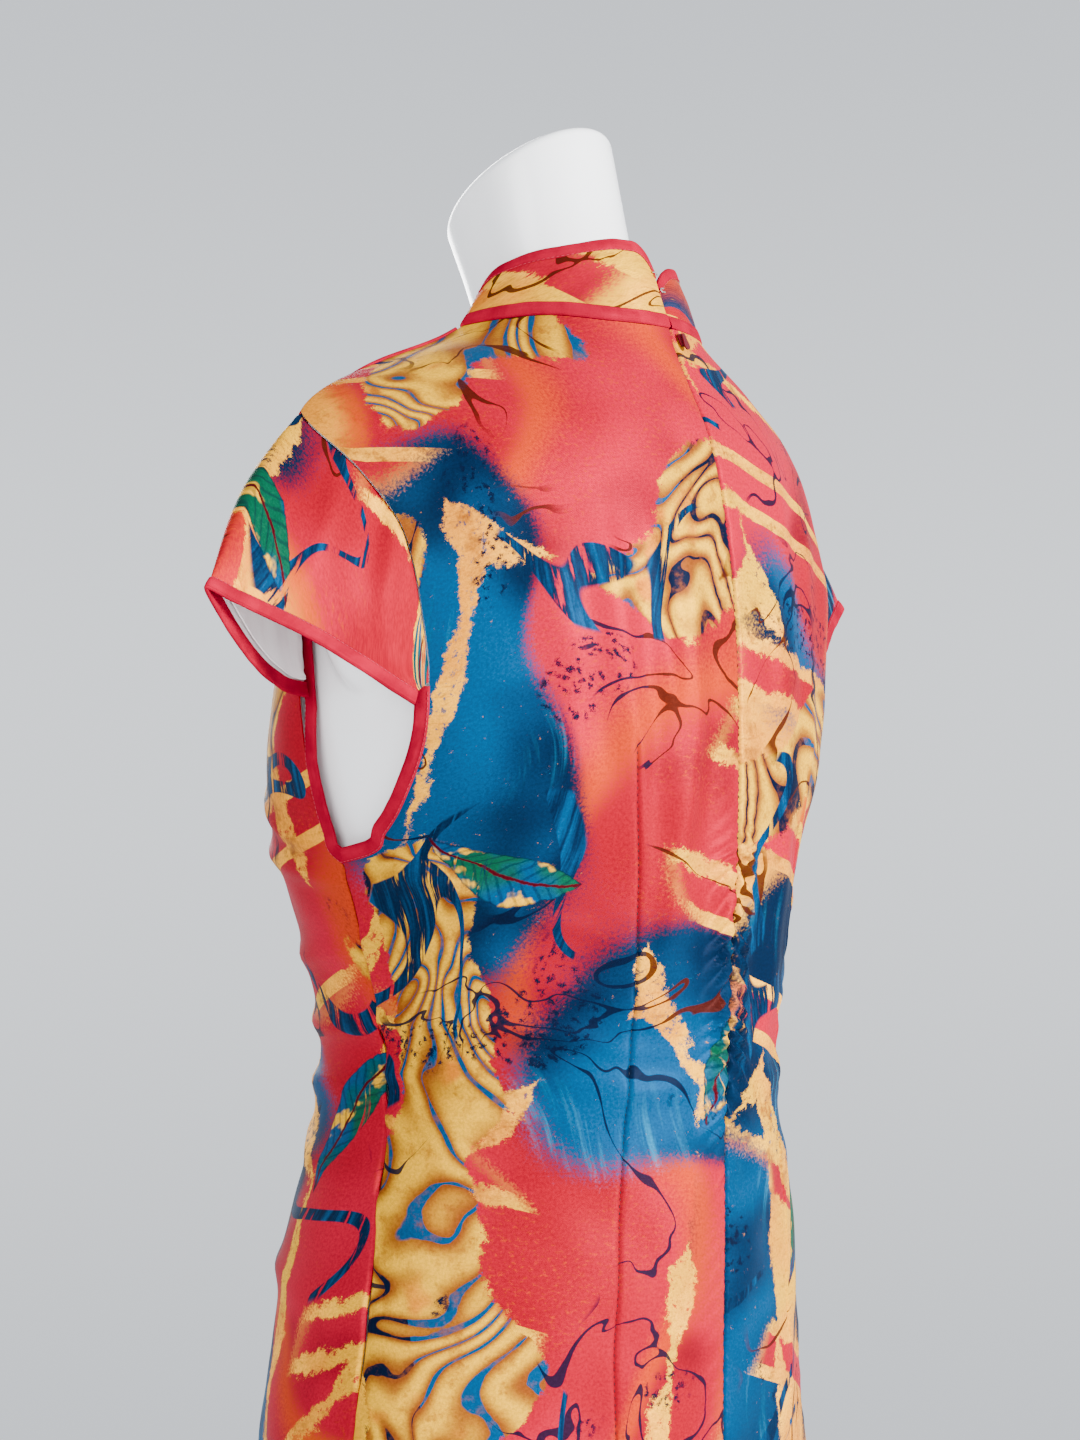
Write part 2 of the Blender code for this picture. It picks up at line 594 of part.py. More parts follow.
def make_fastener(name, right, path):
    """A bent wire on the inner face of one end of the collar's binding."""
    low, high = [line[0] for line in collar_lines(right, 2 * COLUMNS + 1)]
    way = np.array([-1 if right else 1, 0, 0])
    up = unit(high - low)
    out = np.cross(up, way) * (1 if right else -1)
    depth = (BINDING_CLOTH + CLOTH) / 2 + HOOK_WIRE + SEAM
    place = low + (high - low) * HOOK_SHARE - out * depth
    curve = bpy.data.curves.new(name, "CURVE")
    curve.dimensions = "3D"
    curve.bevel_depth = HOOK_WIRE
    curve.bevel_resolution = 1
    curve.use_fill_caps = True
    line = curve.splines.new("POLY")
    line.points.add(len(path) - 1)
    for point, (across, rise) in zip(line.points, path):
        point.co = (*(place + (way * across + up * rise) * MILLIMETRE), 1)
    made = bpy.data.objects.new(name, curve)
    bpy.context.scene.collection.objects.link(made)
    curve.materials.append(material("hook_metal"))
    return made


def ring_solid(name, rings, finish):
    """A closed solid through rings of equal length, with a point at each end."""
    count = len(rings[0])
    points = [point for ring in rings for point in ring]
    faces = []
    for level in range(len(rings) - 1):
        for number in range(count):
            following = (number + 1) % count
            low, high = level * count, (level + 1) * count
            faces.append([low + number, low + following, high + following, high + number])
    for level in (0, len(rings) - 1):
        points.append(np.mean(rings[level], axis=0))
        for number in range(count):
            faces.append([level * count + number, level * count + (number + 1) % count, len(points) - 1])
    return mesh_object(name, points, faces, finish)


def form_end_level(share):
    return FORM_BOTTOM - FORM_END_DEPTH * math.sqrt(1 - share**2)


def form_rings():
    """The torso: the body surface moved inwards, closed below by a rounded end."""
    angles = np.linspace(0, 360, FORM_SIDES, endpoint=False)
    below = np.linspace(FORM_BOTTOM, SHOULDER_LEVELS[0], 23)
    heights = np.concatenate([below, np.linspace(FORM_CHEST_TOP, FORM_TORSO_TOP, 7)])
    rings = []
    for height in heights:
        room = np.interp(height, SHOULDER_LEVELS, (FORM_ROOM, TIP_ROOM, SHOULDER_ROOM))
        drop = np.interp(height, SHOULDER_LEVELS, (0, SHOULDER_DROP, SHOULDER_DROP))
        rings.append(np.array([on_body(angle, height, room, drop) for angle in angles]))
    middle = rings[0].mean(axis=0)
    rounded = []
    for share in FORM_END_RINGS:
        ring = middle + (rings[0] - middle) * share
        ring[:, 2] = form_end_level(share)
        rounded.append(ring)
    return rounded + rings


def neck_rings():
    """The neck leans forward and ends in a slanted top with a rounded rim."""
    turns = np.radians(np.linspace(0, 360, FORM_SIDES, endpoint=False))
    stops = [(height, 1.0) for height in np.linspace(NECK_FOOT, NECK_TOP, 9)]
    for turn in np.radians((30, 60, 90)):
        height = NECK_TOP + NECK_RIM * math.sin(turn)
        stops.append((height, 1 - NECK_RIM * (1 - math.cos(turn)) / NECK_RADIUS))
    stops.append((NECK_TOP + NECK_RIM, NECK_INNER_RING))
    rings = []
    for height, scale in stops:
        tilt = NECK_TILT * float(np.interp(height, (NECK_LEVEL, NECK_TOP), (0, 1)))
        radius = NECK_RADIUS * scale * float(np.interp(height, NECK_FLARE_LEVELS, (NECK_FLARE, 1.0)))
        centre = NECK_Y - NECK_LEAN * (height - NECK_LEVEL)
        ring = [
            (radius * math.sin(t), centre + radius * math.cos(t), height + tilt * radius * math.cos(t))
            for t in turns
        ]
        rings.append(np.array(ring))
    return rings


def make_form():
    form = ring_solid("form_body", form_rings(), "form_plastic")
    helpers = [ring_solid("neck_shape", neck_rings(), "form_plastic")]
    for way in (1, -1):
        bpy.ops.mesh.primitive_uv_sphere_add(segments=24, ring_count=12, radius=1)
        stump = bpy.context.object
        stump.name = "stump_shape"
        stump.scale = STUMP_RADII
        stump.location = (STUMP_CENTRE[0] * way, STUMP_CENTRE[1], STUMP_CENTRE[2])
        helpers.append(stump)
    for helper in helpers:
        helper.hide_render = True
        helper.display_type = "WIRE"
        join = form.modifiers.new(helper.name, "BOOLEAN")
        join.operation = "UNION"
        join.object = helper
    return form


def turned(name, profile, finish, sides=48):
    """A solid turned about the Z axis from (radius, height) points, bottom to top."""
    rings = []
    for radius, height in profile:
        ring = [
            (radius * math.cos(t), radius * math.sin(t), height)
            for t in np.linspace(0, 2 * math.pi, sides, endpoint=False)
        ]
        rings.append(np.array(ring))
    return ring_solid(name, rings, finish)


def make_stand():
    turned(
        "stand_base",
        (
            (BASE_RADIUS - FOOT_EDGE, 0),
            (BASE_RADIUS, FOOT_EDGE),
            (BASE_RADIUS, BASE_HEIGHT - TOP_EDGE),
            (BASE_RADIUS - TOP_EDGE, BASE_HEIGHT),
        ),
        "stand_steel",
    )
    turned(
        "stand_socket",
        (
            (COLLAR_OF_POLE_RADIUS, BASE_HEIGHT + SEAM),
            (COLLAR_OF_POLE_RADIUS, BASE_HEIGHT + COLLAR_OF_POLE_HEIGHT - TOP_EDGE),
            (COLLAR_OF_POLE_RADIUS - TOP_EDGE, BASE_HEIGHT + COLLAR_OF_POLE_HEIGHT),
        ),
        "stand_steel",
    )
    pole_foot = BASE_HEIGHT + COLLAR_OF_POLE_HEIGHT + SEAM
    turned(
        "stand_pole",
        ((POLE_RADIUS, pole_foot), (POLE_RADIUS, form_end_level(FORM_END_RINGS[0]) - SEAM)),
        "stand_steel",
        24,
    )


make_front()
make_back("back_left", False)
make_back("back_right", True)
for side, right in (("left", False), ("right", True)):
    make_sleeve(side, right)
    make_armhole_binding(side, right)
    make_piping(side, right)
make_collar()
make_zip()
make_fastener("collar_hook", False, HOOK_PATH)
make_fastener("collar_eye", True, EYE_PATH)
make_form()
make_stand()
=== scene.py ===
import math

import bpy
import numpy as np
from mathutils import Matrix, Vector


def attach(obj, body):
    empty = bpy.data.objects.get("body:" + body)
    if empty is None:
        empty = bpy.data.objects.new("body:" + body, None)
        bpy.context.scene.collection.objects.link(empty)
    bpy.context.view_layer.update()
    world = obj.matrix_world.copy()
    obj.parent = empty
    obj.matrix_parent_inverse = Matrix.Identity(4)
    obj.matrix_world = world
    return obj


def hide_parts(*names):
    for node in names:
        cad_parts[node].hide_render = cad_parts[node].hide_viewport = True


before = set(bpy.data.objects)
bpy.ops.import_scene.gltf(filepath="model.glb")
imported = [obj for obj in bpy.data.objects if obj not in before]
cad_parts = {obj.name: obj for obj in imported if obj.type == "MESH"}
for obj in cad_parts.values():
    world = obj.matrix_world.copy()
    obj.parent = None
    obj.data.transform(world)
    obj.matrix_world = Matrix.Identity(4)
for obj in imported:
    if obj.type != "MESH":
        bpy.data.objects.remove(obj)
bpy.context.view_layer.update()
dressBody = "dress"
print("frame loaded")


class Value:
    # one output in a finish's node tree
    def __init__(self, finish, socket):
        self.finish = finish
        self.socket = socket

    def maths(self, operation, *others):
        return self.finish.add("ShaderNodeMath", {"operation": operation}, [self, *others])

    def __add__(self, other):
        return self.maths("ADD", other)

    def __radd__(self, other):
        return self.maths("ADD", other)

    def __sub__(self, other):
        return self.maths("SUBTRACT", other)

    def __rsub__(self, other):
        return self.finish.add("ShaderNodeMath", {"operation": "SUBTRACT"}, [other, self])

    def __mul__(self, other):
        return self.maths("MULTIPLY", other)

    def __truediv__(self, other):
        return self.maths("DIVIDE", other)

    def __abs__(self):
        return self.maths("ABSOLUTE")

    def step(self, low, high):
        return self.finish.add(
            "ShaderNodeMapRange", {"interpolation_type": "SMOOTHSTEP"},
            {"Value": self, "From Min": low, "From Max": high},
        )


class Finish:
    def __init__(self, name):
        self.material = bpy.data.materials.new(name)
        self.material.use_nodes = True
        self.tree = self.material.node_tree
        self.shader = self.tree.nodes["Principled BSDF"]

    def add(self, kind, settings=None, inputs=(), output=0):
        node = self.tree.nodes.new(kind)
        for key, value in (settings or {}).items():
            setattr(node, key, value)
        pairs = inputs.items() if isinstance(inputs, dict) else enumerate(inputs)
        for key, value in pairs:
            self.feed(node.inputs[key], value)
        return Value(self, node.outputs[output])

    def feed(self, socket, value):
        if isinstance(value, Value):
            self.tree.links.new(value.socket, socket)
        else:
            socket.default_value = value

    def clothPlace(self):
        return self.add("ShaderNodeUVMap", {"uv_map": "cloth"})

    def objectPlace(self):
        return self.add("ShaderNodeTexCoord", {}, (), "Object")

    def noise(self, place, scale, detail=2.0, rough=0.5, distortion=0.0, output="Fac"):
        inputs = {"Vector": place, "Scale": scale, "Detail": detail}
        inputs.update({"Roughness": rough, "Distortion": distortion})
        return self.add("ShaderNodeTexNoise", {}, inputs, output)

    def patches(self, place, shift, scale, detail, low, high):
        return self.noise(self.moved(place, shift), scale, detail).step(low, high)

    def cells(self, place, scale, output="Color", feature="F1"):
        settings = {"voronoi_dimensions": "2D", "feature": feature}
        return self.add("ShaderNodeTexVoronoi", settings, {"Vector": place, "Scale": scale}, output)

    def twill(self, place, direction, scale, distortion):
        settings = {"wave_type": "BANDS", "bands_direction": direction}
        inputs = {"Vector": place, "Scale": scale, "Distortion": distortion, "Detail": 1.0}
        return self.add("ShaderNodeTexWave", settings, inputs, "Fac")

    def vector(self, operation, *inputs):
        return self.add("ShaderNodeVectorMath", {"operation": operation}, inputs)

    def stretched(self, place, scales, turn=0.0, shift=(0, 0, 0)):
        return self.add(
            "ShaderNodeMapping", {"vector_type": "POINT"},
            {"Vector": place, "Location": shift, "Rotation": (0, 0, turn), "Scale": scales},
        )

    def moved(self, place, shift):
        return self.vector("ADD", place, (shift, 0.37 * shift, 0.0))

    def centred(self, place, scale, detail=2.0, rough=0.5):
        wild = self.noise(place, scale, detail, rough, output="Color")
        return self.vector("SUBTRACT", wild, (0.5, 0.5, 0.5))

    def shaken(self, place, scale, reach, detail=2.0, rough=0.5):
        small = self.vector("MULTIPLY", self.centred(place, scale, detail, rough), (reach, reach, 0))
        return self.vector("ADD", place, small)

    def blend(self, amount, first, second, how="MIX"):
        settings = {"data_type": "RGBA", "blend_type": how}
        return self.add("ShaderNodeMix", settings, {0: amount, 6: first, 7: second}, 2)

    def parts(self, vector):
        split = self.tree.nodes.new("ShaderNodeSeparateXYZ")
        self.feed(split.inputs[0], vector)
        return [Value(self, out) for out in split.outputs]

    def bump(self, height, distance, strength=1.0, under=None):
        inputs = {"Height": height, "Distance": distance, "Strength": strength}
        if under is not None:
            inputs["Normal"] = under
        return self.add("ShaderNodeBump", {}, inputs)

    def surface(self, **inputs):
        for name, value in inputs.items():
            self.feed(self.shader.inputs[name.replace("_", " ")], value)
        return self.material


def colour(code):
    def linear(level):
        return level / 12.92 if level <= 0.04045 else ((level + 0.055) / 1.055) ** 2.4
    return tuple(linear(int(code[n:n + 2], 16) / 255) for n in (0, 2, 4)) + (1.0,)


printTones = {
    "parchment": "CA7E1A", "gold": "D29A10", "cream": "F4AC26", "rust": "783C12", "crimson": "8C021A",
    "rose": "A80429", "wine": "40030E", "deepBlue": "03162E", "tealBlue": "043C62", "sky": "0F6C90",
    "navy": "050E24", "orange": "AC3008", "leafGreen": "064630", "brown": "3C1006",
}
# how the shards of the print lie: their stretch, turn and number to a metre
shard = {"stretch": (1.0, 0.55, 1.0), "turn": 0.62, "scale": 7.6}
leafSize = {"scale": 7.0, "halfLength": 0.046, "halfWidth": 0.0125, "bend": 0.012, "veinPitch": 0.0035}


def makePrintedSatin():
    tone = {name: colour(code) for name, code in printTones.items()}
    f = Finish("printedSatin")
    place = f.clothPlace()
    flowing = f.shaken(place, 6.0, 0.10, 1.0)
    tearing = f.vector("MULTIPLY", f.centred(place, 42.0, 9.0, 0.86), (0.030, 0.030, 0.0))
    torn = f.vector("ADD", flowing, tearing)
    tornHere = f.patches(place, 3.1, 8.0, 1.0, 0.46, 0.54)
    swaying = f.shaken(place, 4.0, 0.035, 0.0)
    partlyTorn = f.vector("ADD", swaying, f.vector("MULTIPLY", tearing, tornHere))
    whollyTorn = f.vector("ADD", swaying, tearing)
    grain = f.noise(place, 620.0, 3.0, 0.7)
    cloud = f.noise(place, 13.0, 5.0, 0.6)
    fibres = f.noise(f.stretched(place, (130.0, 420.0, 1.0), 0.5), 1.0, 4.0, 0.65)
    specks = f.noise(place, 170.0, 6.0, 0.8)
    mottle = f.noise(place, 75.0, 5.0, 0.7)

    # old paper
    paper = f.blend(cloud.step(0.40, 0.66), tone["parchment"], tone["cream"])
    paper = f.blend(f.patches(flowing, 2.0, 9.0, 2.0, 0.46, 0.62), paper, tone["gold"])
    stained = f.patches(place, 3.7, 12.0, 3.0, 0.42, 0.62)
    paper = f.blend(mottle.step(0.46, 0.66) * stained * 0.85, paper, tone["rust"])
    paper = f.blend(fibres.step(0.52, 0.72) * 0.5, paper, tone["rust"])
    paper = f.blend(specks.step(0.60, 0.70) * stained * 0.7, paper, tone["brown"])

    # blue, brushed from deep to teal
    brushed = f.noise(f.stretched(flowing, (170.0, 13.0, 1.0), -0.3), 1.0, 5.0, 0.62)
    blue = f.blend(f.patches(flowing, 5.0, 9.0, 2.0, 0.44, 0.64), tone["deepBlue"], tone["tealBlue"])
    dryBrush = f.patches(place, 13.0, 7.0, 1.0, 0.52, 0.66)
    blue = f.blend(brushed.step(0.50, 0.70) * dryBrush * 0.8, blue, tone["sky"])
    scratches = f.noise(f.stretched(place, (70.0, 190.0, 1.0), 1.0), 1.0, 9.0, 0.8).step(0.63, 0.68)
    blue = f.blend(scratches * 0.55, blue, tone["sky"])
    blue = f.blend(specks.step(0.64, 0.68) * 0.6, blue, tone["parchment"])

    # crimson with orange fibres rubbed into it
    crimson = f.blend(f.patches(place, 7.0, 7.0, 3.0, 0.36, 0.66), tone["crimson"], tone["rose"])
    crimson = f.blend(f.patches(flowing, 4.0, 10.0, 2.0, 0.58, 0.75) * 0.6, crimson, tone["wine"])
    rubbed = f.noise(f.stretched(place, (240.0, 420.0, 1.0), -0.7), 1.0, 5.0, 0.75).step(0.53, 0.66)
    rubbed = rubbed * f.patches(place, 9.0, 14.0, 3.0, 0.46, 0.62)
    crimson = f.blend(rubbed * 0.75, crimson, tone["orange"])

    # shards with straight or torn edges
    shards = f.cells(f.stretched(partlyTorn, shard["stretch"], shard["turn"]), shard["scale"])
    pick, pickToo, pickThree = f.parts(shards)
    layers = f.blend(pick.step(0.42, 0.424), crimson, paper)
    layers = f.blend(pick.step(0.69, 0.694), layers, blue)

    # airbrushed crimson and blue that run over the shards
    haze = f.noise(f.stretched(flowing, (1.0, 0.7, 1.0), -0.5, (0.13, 0.37, 0.0)), 4.4, 0.9)
    haze = haze + (grain - 0.5) * 0.05
    layers = f.blend(haze.step(0.462, 0.512) * 0.9, layers, tone["orange"])
    layers = f.blend(haze.step(0.510, 0.540), layers, crimson)
    chill = f.noise(f.stretched(flowing, (1.0, 0.8, 1.0), 0.4, (2.9, 1.1, 0.0)), 5.0, 0.9)
    chill = chill + (grain - 0.5) * 0.06
    layers = f.blend(chill.step(0.562, 0.592), layers, blue)

    # long bands with clean edges, fading at their ends
    bandWay = f.parts(f.stretched(partlyTorn, (1.0, 1.0, 1.0), 1.25, (0.05, 0.02, 0.0)))[0]
    band = abs(bandWay.maths("PINGPONG", 0.085) - 0.045)
    bandHere = (f.noise(f.moved(flowing, 11.0), 4.2, 0.5) + (grain - 0.5) * 0.05).step(0.52, 0.55)
    layers = f.blend((1 - band.step(0.016, 0.0163)) * bandHere, layers, paper)
    layers = f.blend((1 - band.step(0.0085, 0.0088)) * bandHere, layers, crimson)

    # torn strips of paper between the shards
    leaning = f.stretched(whollyTorn, shard["stretch"], shard["turn"])
    edge = f.cells(leaning, shard["scale"], "Distance", "DISTANCE_TO_EDGE")
    thick = f.patches(place, 6.0, 11.0, 1.0, 0.45, 0.64) * 0.060
    strip = (thick - edge).step(0.0, 0.004)
    strip = strip * (1 - specks.step(0.575, 0.59) * 0.9)
    layers = f.blend(strip, layers, paper)

    # drawn folds: flowing lines with shaded hollows between them
    drawn = f.noise(f.stretched(flowing, (1.0, 0.7, 1.0), 0.2, (7.7, 3.2, 0.0)), 9.0, 1.8, 0.5, 0.8)
    drawnHere = f.patches(torn, 14.0, 7.5, 0.6, 0.625, 0.629)
    hollow = (drawn * 15.0).maths("PINGPONG", 0.5) * 2
    folds = f.blend(hollow.step(0.1, 0.9), tone["rust"], tone["gold"])
    warm = f.noise(place, 22.0, 2.0).step(0.60, 0.68) * hollow.step(0.2, 0.8) * 0.6
    folds = f.blend(warm, folds, tone["orange"])
    pen = f.noise(place, 34.0, 3.0).step(0.30, 0.75) * 0.30 + 0.03
    penTone = f.blend(pickToo.step(0.5, 0.55), tone["navy"], tone["tealBlue"])
    folds = f.blend(1 - (hollow / pen).step(0.8, 1.0), folds, penTone)
    folds = f.blend(mottle.step(0.48, 0.68) * 0.6, folds, tone["rust"])
    layers = f.blend(drawnHere, layers, folds)

    # ink lines, broad teal brush strokes and beads over the paper
    inkField = f.noise(f.moved(flowing, 17.0), 14.0, 1.8, 0.5, 1.1)
    inkWidth = f.noise(place, 28.0, 2.0).step(0.3, 0.8) * 0.022 + 0.002
    inkHere = f.patches(place, 19.0, 8.5, 0.6, 0.50, 0.54)
    ink = (1 - (abs(inkField - 0.5) / inkWidth).step(0.8, 1.0)) * inkHere
    inkTone = f.blend(pickThree.step(0.45, 0.5), tone["navy"], tone["brown"])
    layers = f.blend(ink * 0.95, layers, inkTone)
    strokeField = f.noise(f.moved(flowing, 23.0), 8.0, 0.8, 0.5, 0.5)
    stroke = 1 - abs(strokeField - 0.5).step(0.012, 0.014)
    strokeHere = f.patches(place, 29.0, 6.8, 0.4, 0.545, 0.555) * brushed.step(0.40, 0.45)
    strokeTone = f.blend(brushed.step(0.45, 0.70), tone["deepBlue"], tone["tealBlue"])
    layers = f.blend(stroke * strokeHere, layers, strokeTone)
    beads = f.cells(torn, 150.0, "Distance")
    beadHere = f.patches(place, 31.0, 10.0, 1.0, 0.63, 0.65)
    layers = f.blend((1 - beads.step(0.20, 0.26)) * beadHere, layers, tone["navy"])

    # leaves laid at random, each with a dark rib
    leafCell = f.cells(place, leafSize["scale"])
    leafRandom, _, leafTurn = f.parts(leafCell)
    middle = Value(f, leafCell.socket.node.outputs["Position"])
    local = f.vector("SUBTRACT", f.shaken(place, 50.0, 0.006, 5.0, 0.7), middle)
    turning = {"Vector": local, "Angle": leafTurn * 6.283}
    along, aside, _ = f.parts(f.add("ShaderNodeVectorRotate", {"rotation_type": "Z_AXIS"}, turning))
    share = along / leafSize["halfLength"]
    bent = abs(aside - share * share * leafSize["bend"])
    girth = (1 - share * share) * leafSize["halfWidth"] * (1.15 - share * 0.35)
    leafMask = (girth - bent).step(0.0, 0.0008) * leafRandom.step(0.72, 0.725)
    leaf = f.blend(f.noise(place, 30.0, 2.0).step(0.4, 0.6), tone["leafGreen"], tone["tealBlue"])
    leaf = f.blend(f.noise(place, 55.0, 3.0).step(0.55, 0.62), leaf, tone["gold"])
    veins = (along + bent * 0.9).maths("PINGPONG", leafSize["veinPitch"]).step(0.0004, 0.0014)
    leaf = f.blend((1 - veins) * 0.45, leaf, tone["navy"])
    leaf = f.blend(1 - bent.step(0.0005, 0.0012), leaf, tone["wine"])
    leaf = f.blend((1 - (girth - bent).step(0.0004, 0.0018)) * 0.8, leaf, tone["navy"])
    layers = f.blend(leafMask * brushed.step(0.36, 0.42), layers, leaf)

    # the weave under the print
    layers = f.blend(specks.step(0.67, 0.72) * 0.4, layers, tone["brown"])
    woven = f.blend(grain.step(0.25, 0.75), (0.78, 0.78, 0.78, 1), (1.2, 1.2, 1.2, 1))
    layers = f.blend(1.0, layers, woven, "MULTIPLY")
    slubs = f.noise(f.stretched(place, (90.0, 500.0, 1.0)), 1.0, 3.0)
    relief = f.bump(slubs, 0.0003, 0.35)
    relief = f.bump(f.twill(place, "DIAGONAL", 700.0, 0.6), 0.00008, 0.35, relief)
    gloss = 0.37 + cloud * 0.10 + grain * 0.06
    return f.surface(
        Base_Color=layers, Roughness=gloss, Normal=relief, Metallic=0.12, Specular_IOR_Level=0.02
    )


def makeBindingSatin():
    f = Finish("bindingSatin")
    place = f.clothPlace()
    worn = f.noise(place, 60.0, 3.0)
    tint = f.blend(worn.step(0.35, 0.7), colour("840220"), colour("9C0328"))
    # the lighter crimson streaks on the bias are a painted satin highlight
    sheenStreaks = f.noise(f.stretched(place, (40.0, 260.0, 1.0), 0.785), 1.0, 3.0)
    tint = f.blend(sheenStreaks.step(0.5, 0.8) * 0.5, tint, colour("AC0530"))
    gathers = f.noise(f.stretched(place, (170.0, 40.0, 1.0)), 1.0, 2.0)
    relief = f.bump(gathers, 0.0006, 0.5)
    turned = f.stretched(place, (1.0, 1.0, 1.0), 0.785)
    relief = f.bump(f.twill(turned, "X", 800.0, 0.8), 0.00007, 0.4, relief)
    gloss = 0.42 + worn * 0.12
    return f.surface(Base_Color=tint, Roughness=gloss, Normal=relief, Metallic=0.10, Specular_IOR_Level=0.0)


def makeLiningSatin():
    f = Finish("liningSatin")
    place = f.clothPlace()
    worn = f.noise(place, 40.0, 3.0)
    tint = f.blend(worn.step(0.3, 0.7), colour("F2E4E5"), colour("FBF3F2"))
    weave = f.noise(f.stretched(place, (160.0, 700.0, 1.0)), 1.0, 2.0)
    relief = f.bump(weave, 0.0002, 0.4)
    return f.surface(Base_Color=tint, Roughness=0.46 + worn * 0.1, Normal=relief, Sheen_Weight=0.1)


def makeThread(name, code):
    f = Finish(name)
    twist = f.noise(f.objectPlace(), 2500.0, 2.0)
    shade = tuple(0.55 * level for level in colour(code)[:3]) + (1.0,)
    tint = f.blend(twist, colour(code), shade)
    return f.surface(Base_Color=tint, Roughness=0.6, Normal=f.bump(twist, 0.0001, 0.5))


def makeFormPlastic():
    f = Finish("formPlastic")
    place = f.objectPlace()
    tint = f.blend(f.noise(place, 9.0, 3.0), colour("F4F5F6"), colour("FAFAFA"))
    scuffs = f.noise(f.stretched(place, (30.0, 30.0, 120.0)), 1.0, 6.0, 0.7).step(0.55, 0.8)
    peel = f.bump(f.noise(place, 160.0, 1.0), 0.0002, 0.06)
    return f.surface(
        Base_Color=tint, Roughness=0.22 + scuffs * 0.10, Normal=peel, Coat_Weight=0.3, Coat_Roughness=0.12
    )


def makeMetal(name, code, wearCode, rough, metallic=1.0):
    f = Finish(name)
    place = f.objectPlace()
    grain = f.noise(f.stretched(place, (260.0, 260.0, 2600.0)), 1.0, 3.0)
    worn = f.noise(place, 120.0, 4.0).step(0.5, 0.75)
    tint = f.blend(worn * 0.5, colour(code), colour(wearCode))
    relief = f.bump(grain, 0.00005, 0.3)
    return f.surface(Base_Color=tint, Metallic=metallic, Roughness=rough + grain * 0.14, Normal=relief)


printedSatin = makePrintedSatin()
bindingSatin = makeBindingSatin()
liningSatin = makeLiningSatin()
formPlastic = makeFormPlastic()
brushedSteel = makeMetal("brushedSteel", "A9ABAE", "8C8E91", 0.26)
zipEnamel = makeMetal("zipEnamel", "5A0414", "8A0E28", 0.22, 0.35)
nickel = makeMetal("nickel", "C9C6BF", "A39F96", 0.24)
crimsonThread = makeThread("crimsonThread", "C2183C")
# near-black thread whose dark colour is painted shade: it stands for the shadowed needle puckers along the
# seams
puckerShadeThread = makeThread("puckerShadeThread", "0A0C14")
print("finishes made")

body = {
    # height, half width, side line y, front y, back y, front power, back power
    "rows": (
        (0.450, 0.1600, 0.006, -0.128, 0.122, 0.90, 1.00),
        (0.620, 0.1710, 0.010, -0.136, 0.126, 0.90, 1.05),
        (0.800, 0.1670, 0.012, -0.137, 0.126, 0.90, 1.10),
        (0.860, 0.1590, 0.014, -0.133, 0.126, 0.90, 1.10),
        (0.920, 0.1470, 0.012, -0.126, 0.127, 0.90, 1.05),
        (0.980, 0.1290, 0.004, -0.113, 0.127, 0.90, 0.95),
        (1.020, 0.1230, -0.002, -0.107, 0.129, 0.90, 0.92),
        (1.060, 0.1320, -0.005, -0.112, 0.131, 0.90, 0.92),
        (1.120, 0.1500, -0.008, -0.125, 0.135, 0.90, 0.90),
        (1.180, 0.1680, -0.003, -0.115, 0.136, 0.90, 0.80),
        (1.240, 0.1720, 0.000, -0.093, 0.134, 0.90, 0.80),
        (1.290, 0.1770, 0.000, -0.070, 0.128, 1.10, 0.95),
        (1.330, 0.1820, -0.004, -0.046, 0.119, 1.30, 1.25),
        (1.345, 0.1810, -0.008, -0.034, 0.1135, 1.40, 1.45),
        (1.360, 0.1630, -0.007, -0.022, 0.1060, 1.40, 1.55),
        (1.375, 0.1260, -0.004, -0.011, 0.0985, 1.40, 1.35),
        (1.390, 0.0850, 0.004, -0.002, 0.0920, 1.30, 1.15),
        (1.405, 0.0620, 0.010, 0.006, 0.0880, 1.00, 1.00),
        (1.420, 0.0500, 0.013, 0.010, 0.0840, 1.00, 1.00),
    ),
    "hem": 0.450, "underarm": 1.1165, "shoulderTip": 1.347,
    "centreEnd": {"back": 1.360, "front": 1.292},
    # height, back y, front y of the armhole's seam
    "armhole": (
        (1.1165, -0.0080, -0.0080), (1.1200, 0.008, -0.013), (1.1330, 0.025, -0.0165),
        (1.1570, 0.045, -0.018),
        (1.1750, 0.055, -0.018), (1.2100, 0.061, -0.020), (1.2450, 0.058, -0.024), (1.2700, 0.054, -0.027),
        (1.2880, 0.048, -0.027), (1.3050, 0.037, -0.025), (1.3230, 0.021, -0.020), (1.3350, 0.006, -0.014),
        (1.3470, -0.008, -0.008),
    ),
    # angle from the centre back, seam height on the left, on the right
    "neckline": (
        (0, 1.3960, 1.3960), (30, 1.3982, 1.3918), (60, 1.4012, 1.3895), (80, 1.3990, 1.3895),
        (90, 1.3970, 1.3895), (132, 1.3900, 1.3855), (148, 1.3750, 1.3730), (157, 1.3600, 1.3590),
        (162, 1.3470, 1.3470), (169, 1.3340, 1.3340), (180, 1.3270, 1.3270),
    ),
}


def rowsAt(table, key):
    rows = np.array(table, float)
    keys, values = rows[:, 0], rows[:, 1:]
    key = np.clip(np.asarray(key, float), keys[0], keys[-1])
    at = np.clip(np.searchsorted(keys, key) - 1, 0, len(keys) - 2)
    slope = np.gradient(values, keys, axis=0)
    span = (keys[at + 1] - keys[at])[..., None]
    t = (key - keys[at])[..., None] / span
    return (
        (2 * t**3 - 3 * t**2 + 1) * values[at] + (t**3 - 2 * t**2 + t) * span * slope[at]
        + (3 * t**2 - 2 * t**3) * values[at + 1] + (t**3 - t**2) * span * slope[at + 1]
    )


